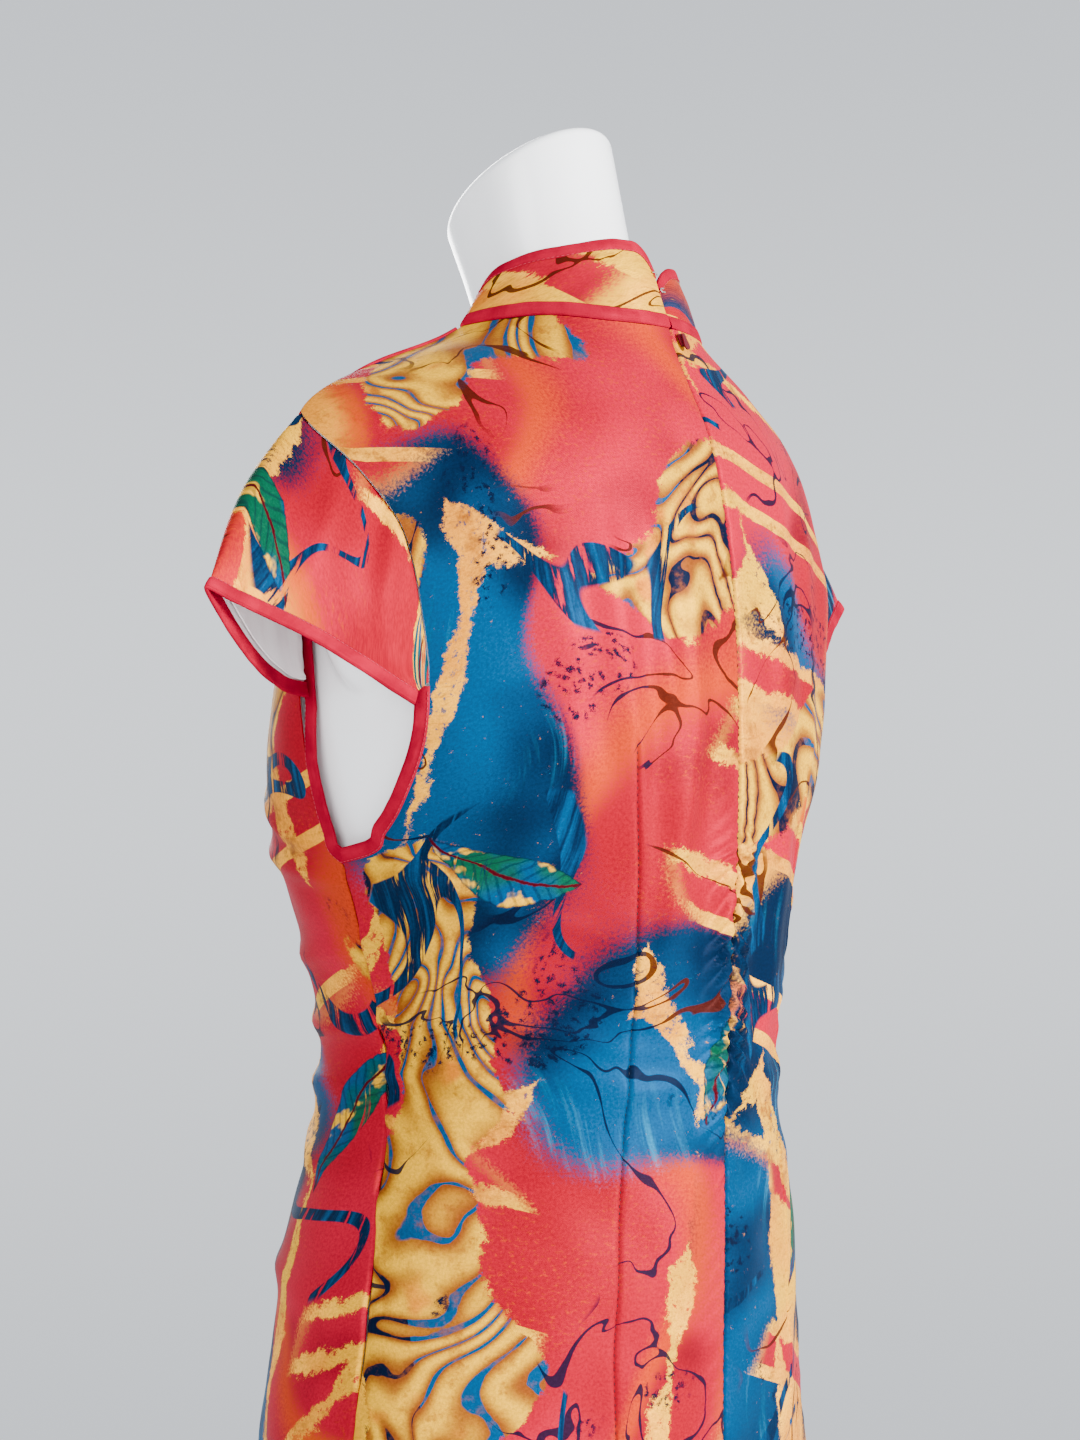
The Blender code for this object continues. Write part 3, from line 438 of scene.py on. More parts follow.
def onBody(angle, height, room=0.0, drop=0.0):
    angle, height = np.broadcast_arrays(np.asarray(angle, float), np.asarray(height, float))
    half, side, front, back, frontPower, backPower = np.moveaxis(rowsAt(body["rows"], height + drop), -1, 0)
    half, back = half - room, back - room
    front = np.minimum(front + room, side - 0.004 + room)
    turn = np.radians(angle)
    reach = np.cos(turn)
    y = np.where(
        reach >= 0,
        side + (back - side) * np.abs(reach) ** backPower,
        side + (front - side) * np.abs(reach) ** frontPower,
    )
    return np.stack([half * np.sin(turn), y, height], axis=-1)


def unit(vectors):
    return vectors / np.maximum(np.linalg.norm(vectors, axis=-1, keepdims=True), 1e-12)


def bodyNormal(angle, height):
    roundIt = onBody(angle + 0.5, height) - onBody(angle - 0.5, height)
    up = onBody(angle, height + 0.0005) - onBody(angle, height - 0.0005)
    return unit(np.cross(up, roundIt))


def angleOnEdge(height, y, toFront):
    half, side, front, back, frontPower, backPower = np.moveaxis(rowsAt(body["rows"], height), -1, 0)
    if toFront:
        share = np.maximum(side - y, 0) / (side - front)
        return 90 + np.degrees(np.arcsin(np.minimum(share ** (1 / frontPower), 1)))
    share = np.maximum(y - side, 0) / (back - side)
    return 90 - np.degrees(np.arcsin(np.minimum(share ** (1 / backPower), 1)))


def armholeAt(turn, toFront):
    turn = np.asarray(turn, float)
    height = body["underarm"] + (body["shoulderTip"] - body["underarm"]) * (1 - np.cos(turn)) / 2
    y = rowsAt(body["armhole"], height)[..., 1 if toFront else 0]
    return np.stack([angleOnEdge(height, y, toFront), height], axis=-1)


def necklineAt(angle, right):
    return rowsAt(body["neckline"], angle)[..., 1 if right else 0]


def mirrored(points, right):
    return points * np.array([-1.0 if right else 1.0, 1.0, 1.0])


def smooth(x, low, high):
    t = np.clip((np.asarray(x, float) - low) / (high - low), 0, 1)
    return t * t * (3 - 2 * t)


def bell(x, middle, width):
    return np.exp(-(((np.asarray(x, float) - middle) / width) ** 2))


def uneven(u, v, size, seed=0.0):
    u, v = np.asarray(u) / size, np.asarray(v) / size
    return (
        np.sin(3.1 * u + 1.3 * v + 1.1 + seed) + np.sin(-1.7 * u + 2.9 * v + 2.3 * seed)
        + np.sin(5.3 * u + 4.1 * v + 0.7 + 1.7 * seed) * 0.5 + np.sin(-4.7 * u + 6.1 * v + 3.9 * seed) * 0.5
    ) / 3


def gridFaces(rows, columns, base=0, turned=False):
    row, column = np.meshgrid(np.arange(rows - 1), np.arange(columns - 1), indexing="ij")
    start = base + row * columns + column
    faces = np.stack([start, start + 1, start + columns + 1, start + columns], axis=-1).reshape(-1, 4)
    return faces[:, [0, 3, 2, 1]] if turned else faces


def ringFaces(rings, count):
    # quads between rings of points that each close on themselves
    number = np.arange((rings - 1) * count)
    after = number // count * count + (number + 1) % count
    return np.stack([number, after, after + count, number + count], axis=1)


def shown(name, mesh):
    piece = bpy.data.objects.new(name, mesh)
    bpy.context.scene.collection.objects.link(piece)
    return piece


def finishMesh(name, points, faces, finishes, picks=None, uv=None, sharp=50):
    mesh = bpy.data.meshes.new(name)
    mesh.from_pydata(np.asarray(points).tolist(), [], [tuple(int(n) for n in face) for face in faces])
    for made in finishes:
        mesh.materials.append(made)
    if picks is not None:
        mesh.polygons.foreach_set("material_index", np.asarray(picks, np.int32))
    if uv is not None:
        layer = mesh.uv_layers.new(name="cloth")
        loops = np.empty(len(mesh.loops), np.int32)
        mesh.loops.foreach_get("vertex_index", loops)
        layer.data.foreach_set("uv", np.asarray(uv, np.float32)[loops].ravel())
    mesh.shade_smooth()
    mesh.set_sharp_from_angle(angle=math.radians(sharp))
    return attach(shown(name, mesh), dressBody)


def standsFor(piece, node):
    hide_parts(node)


def runLength(line):
    steps = np.linalg.norm(np.diff(line, axis=0), axis=-1)
    return np.concatenate([np.zeros_like(steps[:1]), np.cumsum(steps, axis=0)])


def fanned(first, last, reach):
    # places along a cut whose two long edges differ in length, measured from its middle
    middle = len(first) // 2
    return (first - first[middle])[:, None] * (1 - reach) + (last - last[middle])[:, None] * reach


def cutSheet(flat):
    # flat holds each point's place on the cut before it was sewn: the cut's area is worked out
    # from there, not from the hung cloth
    a, b, c, d = flat[:-1, :-1], flat[1:, :-1], flat[1:, 1:], flat[:-1, 1:]
    first, second = c - a, d - b
    area = float(np.abs(first[..., 0] * second[..., 1] - first[..., 1] * second[..., 0]).sum() / 2)


# the print starts at another place on each piece's cut
cutFrom = {
    "frontPanel": (3.10, 1.75), "backLeft": (0.42, 0.31), "backRight": (1.36, 0.58),
    "standCollar": (3.14, 1.60), "sleeveLeft": (0.85, 2.35), "sleeveRight": (2.60, 3.05),
}
printedOnLining = (printedSatin, liningSatin)


def clothShell(
    name, node, outer, inner, uv, facing,
    finishes=printedOnLining,
):
    # facing is a direction for each point that the outer side should look along
    rows, columns = outer.shape[:2]
    middle = (rows // 2, columns // 2)
    over = outer[middle[0], middle[1] + 1] - outer[middle]
    up = outer[middle[0] + 1, middle[1]] - outer[middle]
    turned = np.dot(np.cross(over, up), facing[middle]) < 0
    count = rows * columns
    top = gridFaces(rows, columns, 0, turned)
    below = gridFaces(rows, columns, count, not turned)
    rim = [(0, c) for c in range(columns)] + [(r, columns - 1) for r in range(1, rows)]
    rim += [(rows - 1, c) for c in range(columns - 2, -1, -1)] + [(r, 0) for r in range(rows - 2, 0, -1)]
    index = np.array([r * columns + c for r, c in rim])
    following = np.roll(index, -1)
    side = np.stack([following, index, index + count, following + count], axis=1)
    side = side[:, ::-1] if turned else side
    points = np.concatenate([outer.reshape(-1, 3), inner.reshape(-1, 3)])
    faces = np.concatenate([top, below, side])
    picks = np.concatenate([np.zeros(len(top)), np.ones(len(below)), np.zeros(len(side))])
    printAt = (uv + np.array(cutFrom.get(name, (0.0, 0.0)))).reshape(-1, 2)
    piece = finishMesh(name, points, faces, finishes, picks, np.tile(printAt, (2, 1)))
    standsFor(piece, node)
    cutSheet(uv)


edgeStitch = {"pitch": 0.0026, "length": 0.0019, "radius": 0.00016, "rise": 0.0008}
seamStitch = {"pitch": 0.0036, "length": 0.0016, "radius": 0.00020, "rise": 0.0002}
threadSides, threadRings = 6, 5


def stitchesAlong(name, line, normals, stitch, thread):
    # each stitch is a short arched thread
    run = runLength(line)
    firsts = np.arange(stitch["pitch"], run[-1] - stitch["pitch"], stitch["pitch"])

    def at(stops, values):
        return np.stack([np.interp(stops, run, values[:, n]) for n in range(3)], axis=1)

    starts, normals = at(firsts, line), unit(at(firsts, normals))
    way = at(firsts + stitch["length"], line) - starts
    length = np.linalg.norm(way, axis=1, keepdims=True)
    way = way / length
    aside = unit(np.cross(way, normals))
    radius = stitch["radius"]
    points = np.empty((len(starts), threadRings, threadSides, 3))
    for ring, share in enumerate(np.linspace(0, 1, threadRings)):
        arch = math.sin(share * math.pi)
        centre = starts + way * length * share + normals * (arch * radius * 1.1 - radius * 0.5)
        size = radius * (0.45 + 0.55 * arch)
        for number in range(threadSides):
            turn = 2 * math.pi * number / threadSides
            points[:, ring, number] = centre + aside * size * math.cos(turn) + normals * size * math.sin(turn)
    blocks = np.arange(len(starts))[:, None, None] * threadRings * threadSides
    whole = (blocks + ringFaces(threadRings, threadSides)[None]).reshape(-1, 4)
    finishMesh(name, points.reshape(-1, 3), whole, [thread], sharp=180)


binding = {
    "thick": 0.0022, "satin": 0.00035, "lift": -0.0005, "foldSteps": 9, "swell": 0.22,
    # shares of the width that hold a line of points, on the hidden face and then on the seen one
    "hidden": (0.0, 0.07, 0.14, 0.28, 0.5, 0.72, 0.86),
    "seen": (0.86, 0.80, 0.72, 0.5, 0.28, 0.20, 0.14, 0.07, 0.0),
    "dipped": (0.80, 0.20), "dip": 0.00007, "tuckEnd": 0.14, "tuck": 0.7,
}


def bindingOutline(width):
    radius = binding["thick"] / 2
    outline = [(width * share, -radius) for share in binding["hidden"]]
    for turn in np.linspace(-math.pi / 2, math.pi / 2, binding["foldSteps"]):
        outline.append((width - radius + radius * math.cos(turn), radius * math.sin(turn)))
    for share in binding["seen"]:
        dip = binding["dip"] if share in binding["dipped"] else 0.0
        tuck = radius * binding["tuck"] * max(0.0, 1 - share / binding["tuckEnd"]) ** 2
        level = radius * (1 + binding["swell"] * math.sin(math.pi * share)) - dip - tuck
        outline.append((width * share, level))
    return np.array(outline)


def foldedBand(name, line, across, face, width, offset, ripple, seed):
    # a strip of satin folded double over the raw edge, its two sewn edges meeting it on either face
    run = runLength(line)
    wave = uneven(run, 0 * run, 0.010, seed) * 0.6 + uneven(run, 0 * run, 0.034, seed + 2) * 0.4
    outline = bindingOutline(width)
    way = unit(np.gradient(outline, axis=0))
    inward = outline + np.stack([-way[:, 1], way[:, 0]], axis=1) * binding["satin"]
    section = np.concatenate([outline, inward[::-1]])
    count, half = len(section), len(outline)
    reached = runLength(outline)
    points = np.empty((len(line), count, 3))
    for number, (reach, level) in enumerate(section):
        reach = reach + offset + wave * ripple * (0.3 + 0.7 * reach / width)
        rise = binding["lift"] + level + wave * ripple * 0.5 * (1 if level > 0 else 0)
        reach, rise = [np.broadcast_to(value, run.shape)[:, None] for value in (reach, rise)]
        points[:, number] = line + across * reach + face * rise
    uv = np.stack(np.meshgrid(run, np.concatenate([reached, reached[::-1]]), indexing="ij"), axis=-1)
    faces = ringFaces(len(line), count).tolist()
    last = (len(line) - 1) * count
    for column in range(half - 1):  # the strip's two cut ends
        ring = [column, column + 1, count - 2 - column, count - 1 - column]
        faces.append(ring[::-1])
        faces.append([last + n for n in ring])
    top = half - 4
    normal = np.cross(points[1, top] - points[0, top], points[0, top + 1] - points[0, top])
    if np.dot(normal, face[0]) > 0:
        faces = [one[::-1] for one in faces]
    piece = finishMesh(name, points.reshape(-1, 3), faces, [bindingSatin], None, uv.reshape(-1, 2), 70)
    return piece, float(reached[-1])


def boundEdge(name, node, lines, size, sewnAt=None):
    # lines: the raw edge, the way over it and the way out of its seen face.
    # size: the band's width, how far off the edge it starts, its ripple and the ripple's seed.
    # sewnAt: how far from the edge its row of stitches runs
    line, across, face = lines
    piece, wide = foldedBand(name, line, across, face, *size)
    standsFor(piece, node)
    # the strip is straight, as wide as its two faces and its fold together
    if sewnAt:
        sewn = line + across * sewnAt + face * edgeStitch["rise"]
        thread = name.replace("Binding", "Stitch")
        stitchesAlong(thread, sewn, face, edgeStitch, crimsonThread)


cloth = {
    "creases": 2.4, "thickness": 0.0010, "seamRoom": 0.00012,
    "slitTop": 0.640, "slitRoom": 0.004, "slitLean": 0.030,
    # how deep the dart, side and zip seams sink, and how far the hem is turned up
    "dartDepth": 0.0013, "sideDepth": 0.0014, "zipDepth": 0.0018, "hemFold": 0.028,
}
creases = {
    # the back's long drapes: first distance from the centre, top, foot, height, width, drift outwards
    "drapes": (
        (0.034, 1.315, 1.02, 0.0015, 0.008, 0.012), (0.058, 1.335, 1.06, 0.0013, 0.009, -0.010),
        (0.088, 1.330, 1.10, 0.0012, 0.010, -0.020), (0.118, 1.300, 1.12, 0.0010, 0.011, -0.028),
        (0.020, 1.250, 0.96, -0.0008, 0.007, 0.006), (0.100, 1.240, 1.00, -0.0009, 0.012, -0.026),
    ),
    # drag lines: distance from the centre, level, slope, height, width, reach
    "backDrags": (
        (0.135, 1.105, 0.48, 0.0012, 0.006, 0.060), (0.140, 1.075, 0.40, 0.0009, 0.007, 0.055),
        (0.120, 1.035, 0.22, 0.0013, 0.006, 0.050), (0.118, 1.008, 0.05, 0.0011, 0.006, 0.055),
        (0.122, 0.985, -0.18, 0.0010, 0.006, 0.050), (0.060, 1.000, 0.10, 0.0007, 0.007, 0.040),
        (0.065, 1.045, 0.15, 0.0006, 0.007, 0.035), (0.130, 0.945, -0.30, 0.0009, 0.008, 0.050),
    ),
    "frontDrags": (
        (0.120, 1.120, -0.45, 0.0013, 0.007, 0.050), (0.120, 1.150, -0.75, 0.0010, 0.007, 0.045),
        (0.090, 1.060, 0.25, 0.0012, 0.007, 0.055), (0.095, 1.030, 0.05, 0.0014, 0.007, 0.060),
        (0.095, 1.000, -0.12, 0.0012, 0.007, 0.060), (0.100, 0.965, -0.30, 0.0010, 0.008, 0.055),
        (0.030, 1.015, 0.00, 0.0008, 0.008, 0.045), (0.110, 0.900, -0.25, 0.0010, 0.009, 0.055),
        (0.120, 1.230, 0.90, 0.0011, 0.007, 0.040), (0.090, 1.270, 1.10, 0.0009, 0.008, 0.040),
    ),
    "hang": 0.0022,
}


def dragged(total, drags, near, z, way, share=1.0):
    for number, (middle, level, slope, height, width, reach) in enumerate(drags):
        line = level + (near - middle) * slope + 0.002 * np.sin(near * 90 + number * 2 + way)
        total = total + height * share * bell(z, line, width) * bell(near, middle, reach)
    return total


def backRelief(x, z, right):
    # in metres along the cloth's normal
    way = -1.0 if right else 1.0
    near = np.abs(x)
    strong = smooth(z, 0.955, 1.00) * (1 - smooth(z, 1.10, 1.145))
    weak = smooth(z, 0.50, 0.60) * (1 - smooth(z, 1.34, 1.38))
    phase = 2 * math.pi * z / 0.0105 + 2.2 * np.sin(z * 61) + 1.3 * np.sin(z * 133 + 2)
    phase = phase + (1.9 if right else 0)
    braid = np.sin(phase + near * 430) * bell(near, 0.0085, 0.0080)
    puckers = braid * (0.0019 * strong + 0.0004 * weak) + bell(near, 0.007, 0.006) * 0.0006 * strong
    fine = np.sin(2 * math.pi * z / 0.0062 + 1.5 * np.sin(z * 90) + way) * bell(near, 0.0025, 0.0028)
    puckers = puckers + fine * 0.00018 * weak
    total = 0.0
    scale = 0.8 if right else 1.0
    for number, (start, top, foot, height, width, drift) in enumerate(creases["drapes"]):
        share = (top - z) / (top - foot)
        line = start + drift * share + 0.003 * np.sin(z * 24 + number + way)
        fade = smooth(share, 0.0, 0.25) * (1 - smooth(share, 0.7, 1.05))
        total = total + height * scale * fade * bell(near, line, width)
    total = dragged(total, creases["backDrags"], near, z, way)
    hang = smooth(0.86 - z, 0.0, 0.36)
    sway = creases["hang"] * hang * np.sin(near * 58 + 0.9 + way * 0.7 + 2.0 * np.sin(z * 5))
    total = total + sway * smooth(near, 0.008, 0.04)
    total = total + 0.0007 * uneven(x * 1.6, z, 0.055, 0.4 + way) * smooth(near, 0.004, 0.02)
    sideSeam = smooth(near, 0.100, 0.125)
    puckers = puckers + 0.0005 * sideSeam * uneven(x, z, 0.012, way) * (1 - smooth(z, 1.02, 1.10))
    return puckers + total * cloth["creases"]


def frontRelief(x, z):
    way = np.sign(x)
    total = 0.0007 * uneven(x * 1.5, z, 0.05, 1.9)
    total = dragged(total, creases["frontDrags"], np.abs(x), z, way * 1.2, 1 + 0.2 * way)
    hang = smooth(0.86 - z, 0.0, 0.36)
    total = total + creases["hang"] * hang * np.sin(x * 52 + 0.9 + 2.0 * np.sin(z * 5 + 1))
    return total * cloth["creases"]


seams = {
    # height and distance from the centre of the long dart seam of the back, then of the front
    "back": (
        (0.45, 0.074), (0.70, 0.074), (0.82, 0.073), (0.86, 0.074), (0.90, 0.071), (0.94, 0.069),
        (0.98, 0.065), (1.02, 0.062), (1.06, 0.062), (1.10, 0.065), (1.14, 0.069), (1.18, 0.073),
        (1.26, 0.078), (1.36, 0.082),
    ),
    "front": (
        (0.45, 0.078), (0.82, 0.078), (0.92, 0.073), (1.02, 0.066), (1.08, 0.070), (1.12, 0.074),
        (1.36, 0.080),
    ),
    "backEnds": (0.700, 1.183), "frontEnds": (0.820, 1.105),
    "offsets": (0.0, 0.0003, 0.0008, 0.0016, 0.003, 0.006),
    "uniform": (30, 22),
    "backRows": (400, 110, 30), "frontRows": (200, 76, 26),
}
dartColumn = 2 * len(seams["offsets"]) + seams["uniform"][0] - 2


def panelPlaces(toFront, right):
    # rows of angle and height on one half panel, with its long seam on one column
    centre = 180.0 if toFront else 0.0
    face = "front" if toFront else "back"
    centreEnd, underarm, tip = body["centreEnd"][face], body["underarm"], body["shoulderTip"]
    centreTop, sideTop = necklineAt(centre, right), necklineAt(90.0, right)
    skirt, sleeveRows, shoulder = seams[face + "Rows"]
    # height at the centre, angle and height at the other end, share of the neckline's curve
    rows = [(height, 90.0, height, 0.0) for height in np.linspace(body["hem"], underarm, skirt + 1)[:-1]]
    for turn in np.linspace(0, math.pi, sleeveRows + 1)[:-1]:
        angle, height = armholeAt(turn, toFront)
        share = (height - underarm) / (tip - underarm)
        rows.append((underarm + (centreEnd - underarm) * share, angle, height, turn / math.pi * 0.8))
    for share in np.linspace(0, 1, shoulder + 1):
        height = tip + (sideTop - tip) * share
        rows.append((centreEnd * (1 - share) + centreTop * share, 90.0, height, 0.8 + 0.2 * share))
    atCentre, endAngle, endHeight, rise = np.array(rows).T
    inner = np.stack([np.full(len(rows), centre), atCentre], axis=1)
    outer = np.stack([endAngle, endHeight], axis=1)
    shares = np.linspace(0, 1, 161)
    straight = centreTop + (sideTop - centreTop) * shares
    lift = necklineAt(centre + (90 - centre) * shares, right) - straight
    places = inner[:, None] + (outer - inner)[:, None] * shares[None, :, None]
    places[..., 1] += (rise**2)[:, None] * lift[None]
    line = onBody(places[..., 0], places[..., 1])
    edge = np.array(seams["offsets"])
    first, second = seams["uniform"]
    made = []
    for row in range(len(line)):
        run = runLength(line[row])
        length = run[-1]
        wanted = rowsAt(seams[face], line[row, 0, 2])[0]
        dart = min(np.interp(wanted, line[row, :, 0], run), 0.60 * length)
        left = edge * min(1, dart * 0.3 / edge[-1])
        other = edge * min(1, (length - dart) * 0.3 / edge[-1])
        stops = np.concatenate([
            left, np.linspace(left[-1], dart - left[-1], first + 1)[1:-1], dart - left[::-1][:-1], [dart],
            dart + other[1:], np.linspace(dart + other[-1], length - other[-1], second + 1)[1:-1],
            length - other[::-1],
        ])
        angle, height = [np.interp(stops, run, places[row, :, n]) for n in (0, 1)]
        made.append(np.stack([angle, height, stops, stops - dart, length - stops], axis=-1))
    return np.array(made)


def nearest(points, line):
    flat = points.reshape(-1, 3)
    best = np.full(len(flat), 1.0)
    for start in range(0, len(line), 40):
        gap = np.linalg.norm(flat[:, None] - line[None, start:start + 40], axis=2).min(axis=1)
        best = np.minimum(best, gap)
    return best.reshape(points.shape[:2])


def halfPanel(toFront, right):
    angle, height, stops, fromDart, fromSide = np.moveaxis(panelPlaces(toFront, right), -1, 0)
    points = mirrored(onBody(angle, height), right)
    normals = mirrored(bodyNormal(angle, height), right)
    skirt = seams["frontRows" if toFront else "backRows"][0]
    edge = np.concatenate([points[skirt:, -1], points[-1]])[::2]
    calm = smooth(nearest(points, edge), 0.002, 0.020)
    x, z = points[..., 0], points[..., 2]
    relief = (frontRelief(x, z) if toFront else backRelief(x, z, right)) * calm
    closeToForm = smooth(z, 1.29, 1.35)
    relief = np.where(relief < 0, relief * (1 - 0.85 * closeToForm), relief * (1 - 0.3 * closeToForm))
    low, high = seams["frontEnds" if toFront else "backEnds"]
    here = smooth(z, low, low + 0.04) * (1 - smooth(z, high - 0.008, high))
    dart = cloth["dartDepth"] * bell(fromDart, 0, 0.0008) - 0.0004 * bell(np.abs(fromDart), 0.004, 0.0025)
    relief = relief - here * dart
    below = (np.arange(len(z)) < skirt)[:, None] * 1.0
    relief = relief - below * cloth["sideDepth"] * bell(fromSide, 0, 0.0010)
    if not toFront:
        relief = relief - cloth["zipDepth"] * bell(stops, 0, 0.0011)
    hemLine = body["hem"] + cloth["hemFold"]
    turnedUp = 0.0003 * (1 - smooth(z, hemLine - 0.002, hemLine + 0.001))
    relief = relief - 0.0004 * bell(z, hemLine, 0.0012) + turnedUp
    outer = points + normals * relief[..., None]
    inner = outer - normals * cloth["thickness"]
    share = np.maximum(0, (cloth["slitTop"] - z[:, -1]) / (cloth["slitTop"] - body["hem"]))
    # the slit opens over the last stretch of the panel, so its edge doesn't turn over on itself
    opening = cloth["slitRoom"] / 2 * np.sqrt(share)[:, None]
    opening = opening * np.clip(1 - fromSide / cloth["slitLean"], 0, 1)
    forward = -1 if toFront else 1
    for grid in (outer, inner):
        if not toFront:
            grid[:, 0, 0] += cloth["seamRoom"] * (-1 if right else 1)
        grid[:, -1, 1] += forward * cloth["seamRoom"]
        grid[..., 1] += forward * opening
    run = runLength(points)
    middle = run[:, :1] * 0.5 + run * 0.5
    uv = np.stack([stops * (-1 if right else 1), middle], axis=-1)
    return outer, inner, normals, uv


def makeBack(name, node, right):
    outer, inner, normals, uv = halfPanel(False, right)
    clothShell(name, node, outer, inner, uv, normals)
    return outer, normals


def makeFront():
    halves = halfPanel(True, False), halfPanel(True, True)
    outer, inner, normals, uv = [np.concatenate([a[:, ::-1], b[:, 1:]], axis=1) for a, b in zip(*halves)]
    clothShell("frontPanel", "front", outer, inner, uv, normals)


form = {
    "bottom": 0.640, "endDepth": 0.030, "top": 1.388, "rows": (110, 44),
    # at these heights: the room under the dress, and how far the form drops away from it
    "levels": (1.300, 1.352, 1.372), "room": (0.0085, 0.0045, 0.0014), "drop": (0, 0.0028, 0.0028),
    "neckRadius": 0.0445, "neckLean": 0.31, "neckY": 0.016, "neckLevel": 1.400, "neckFoot": 1.330,
    "neckTop": 1.4745, "neckTilt": 0.65, "neckRim": 0.006,
    "stumpCentre": (0.150, 0.020, 1.255), "stumpRadii": (0.038, 0.029, 0.055), "voxel": 0.0032,
}


def ringMesh(rings):
    # rings joined into a closed shape, with a fan of triangles at either end
    count = len(rings[0])
    points = np.concatenate([*rings, [np.mean(rings[0], axis=0)], [np.mean(rings[-1], axis=0)]])
    faces = ringFaces(len(rings), count).tolist()
    last = (len(rings) - 1) * count
    for number in range(count):
        after = (number + 1) % count
        faces.append((after, number, len(points) - 2))
        faces.append((last + number, last + after, len(points) - 1))
    return points, faces


def torsoRings():
    angles = np.linspace(0, 360, 160, endpoint=False)
    (below, above), shoulder = form["rows"], form["levels"][0]
    lower = np.linspace(form["bottom"], shoulder, below)
    upper = np.linspace(shoulder + 0.002, form["top"], above)
    rings = []
    for height in np.concatenate([lower, upper]):
        room, drop = [np.interp(height, form["levels"], form[key]) for key in ("room", "drop")]
        rings.append(onBody(angles, np.full(len(angles), height), room, drop))
    middle = rings[0].mean(axis=0)
    rounded = []
    for share in np.sin(np.linspace(0.1, 1.5, 9)):
        ring = middle + (rings[0] - middle) * share
        ring[:, 2] = form["bottom"] - form["endDepth"] * 0.9 * math.sqrt(1 - share**2)
        rounded.append(ring)
    return rounded + rings


def stumpRings(way):
    turns = np.linspace(0, 2 * math.pi, 64, endpoint=False)
    centre = np.array(form["stumpCentre"]) * np.array([way, 1, 1])
    rings = []
    for rise in np.linspace(-0.49 * math.pi, 0.49 * math.pi, 40):
        flat, level = np.cos(rise), np.full(len(turns), np.sin(rise))
        ring = np.stack([flat * np.cos(turns), flat * np.sin(turns), level], axis=1)
        rings.append(centre + ring * np.array(form["stumpRadii"]))
    return rings


def neckRings():
    turns = np.linspace(0, 2 * math.pi, 128, endpoint=False)
    top, rim, radius = form["neckTop"], form["neckRim"], form["neckRadius"]
    stops = [(height, 1.0) for height in np.linspace(form["neckFoot"], top, 24)]
    for turn in np.linspace(0.15, math.pi / 2, 10):
        stops.append((top + rim * math.sin(turn), 1 - rim * (1 - math.cos(turn)) / radius))
    stops += [(top + rim * (1 + 0.25 * (1 - scale)), scale) for scale in (0.8, 0.7, 0.5, 0.3, 0.1)]
    rings = []
    for height, scale in stops:
        tilt = form["neckTilt"] * float(np.interp(height, (form["neckLevel"], top), (0, 1)))
        reach = radius * scale * float(np.interp(height, (1.33, 1.44), (1.06, 1.0)))
        centre = form["neckY"] - form["neckLean"] * (height - form["neckLevel"])
        lift = tilt * reach * np.cos(turns)
        ring = [reach * np.sin(turns), centre + reach * np.cos(turns), height + lift]
        rings.append(np.stack(ring, axis=1))
    return rings


def makeForm():
    points, faces, base = [], [], 0
    for rings in (torsoRings(), stumpRings(1), stumpRings(-1)):
        more, moreFaces = ringMesh(rings)
        faces += [tuple(n + base for n in face) for face in moreFaces]
        points.append(more)
        base += len(more)
    rough = finishMesh("formRough", np.concatenate(points), faces, [formPlastic], sharp=180)
    remesh = rough.modifiers.new("even", "REMESH")
    remesh.mode = "VOXEL"
    remesh.voxel_size = form["voxel"]
    soften = rough.modifiers.new("soften", "SMOOTH")
    soften.iterations = 6
    soften.factor = 0.6
    whole = bpy.data.meshes.new_from_object(rough.evaluated_get(bpy.context.evaluated_depsgraph_get()))
    bpy.data.objects.remove(rough, do_unlink=True)
    whole.shade_smooth()
    whole.materials.clear()
    whole.materials.append(formPlastic)
    standsFor(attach(shown("formTorso", whole), dressBody), "form_body")
    points, faces = ringMesh(neckRings())
    neck = finishMesh("formNeck", points, [face[::-1] for face in faces], [formPlastic], sharp=180)
    standsFor(neck, "form_body")


makeForm()
print("form made")

backs = {
    "Left": makeBack("backLeft", "back_left", False),
    "Right": makeBack("backRight", "back_right", True),
}
makeFront()
print("panels made")
sides = (("Left", False), ("Right", True))

sleeve = {
    # share along the armhole from the front notch to the back notch, and the line where the binding starts
    "hem": (
        (0.00, 0.1680, -0.0165, 1.2085), (0.14, 0.1920, -0.0110, 1.2125), (0.28, 0.2240, -0.0010, 1.2265),
        (0.40, 0.2500, 0.0055, 1.2480), (0.46, 0.2615, 0.0085, 1.2597), (0.54, 0.2470, 0.0160, 1.2530),
        (0.76, 0.2080, 0.0370, 1.2330), (1.00, 0.1665, 0.0600, 1.2045),
    ),
    # share round the armhole, share from seam to hem, slope, height, width, length
    "dents": (
        (0.70, 0.10, 0.25, -0.0026, 0.030, 0.35), (0.78, 0.30, 0.30, 0.0018, 0.028, 0.30),
        (0.62, 0.35, 0.10, 0.0014, 0.022, 0.35), (0.88, 0.45, 0.20, -0.0012, 0.020, 0.30),
        (0.28, 0.20, -0.20, -0.0020, 0.028, 0.35), (0.20, 0.40, -0.25, 0.0015, 0.026, 0.30),
        (0.38, 0.40, -0.10, 0.0012, 0.022, 0.35), (0.54, 0.55, 0.06, 0.0008, 0.018, 0.30),
    ),
    "bulge": 0.0070, "notch": 7 / 16 * math.pi, "steps": 150, "across": 26, "seamDepth": 0.0014,
    "binding": 0.0080, "sewnAt": 0.0004, "liningDepth": 0.0016, "liningThickness": 0.0008,
}


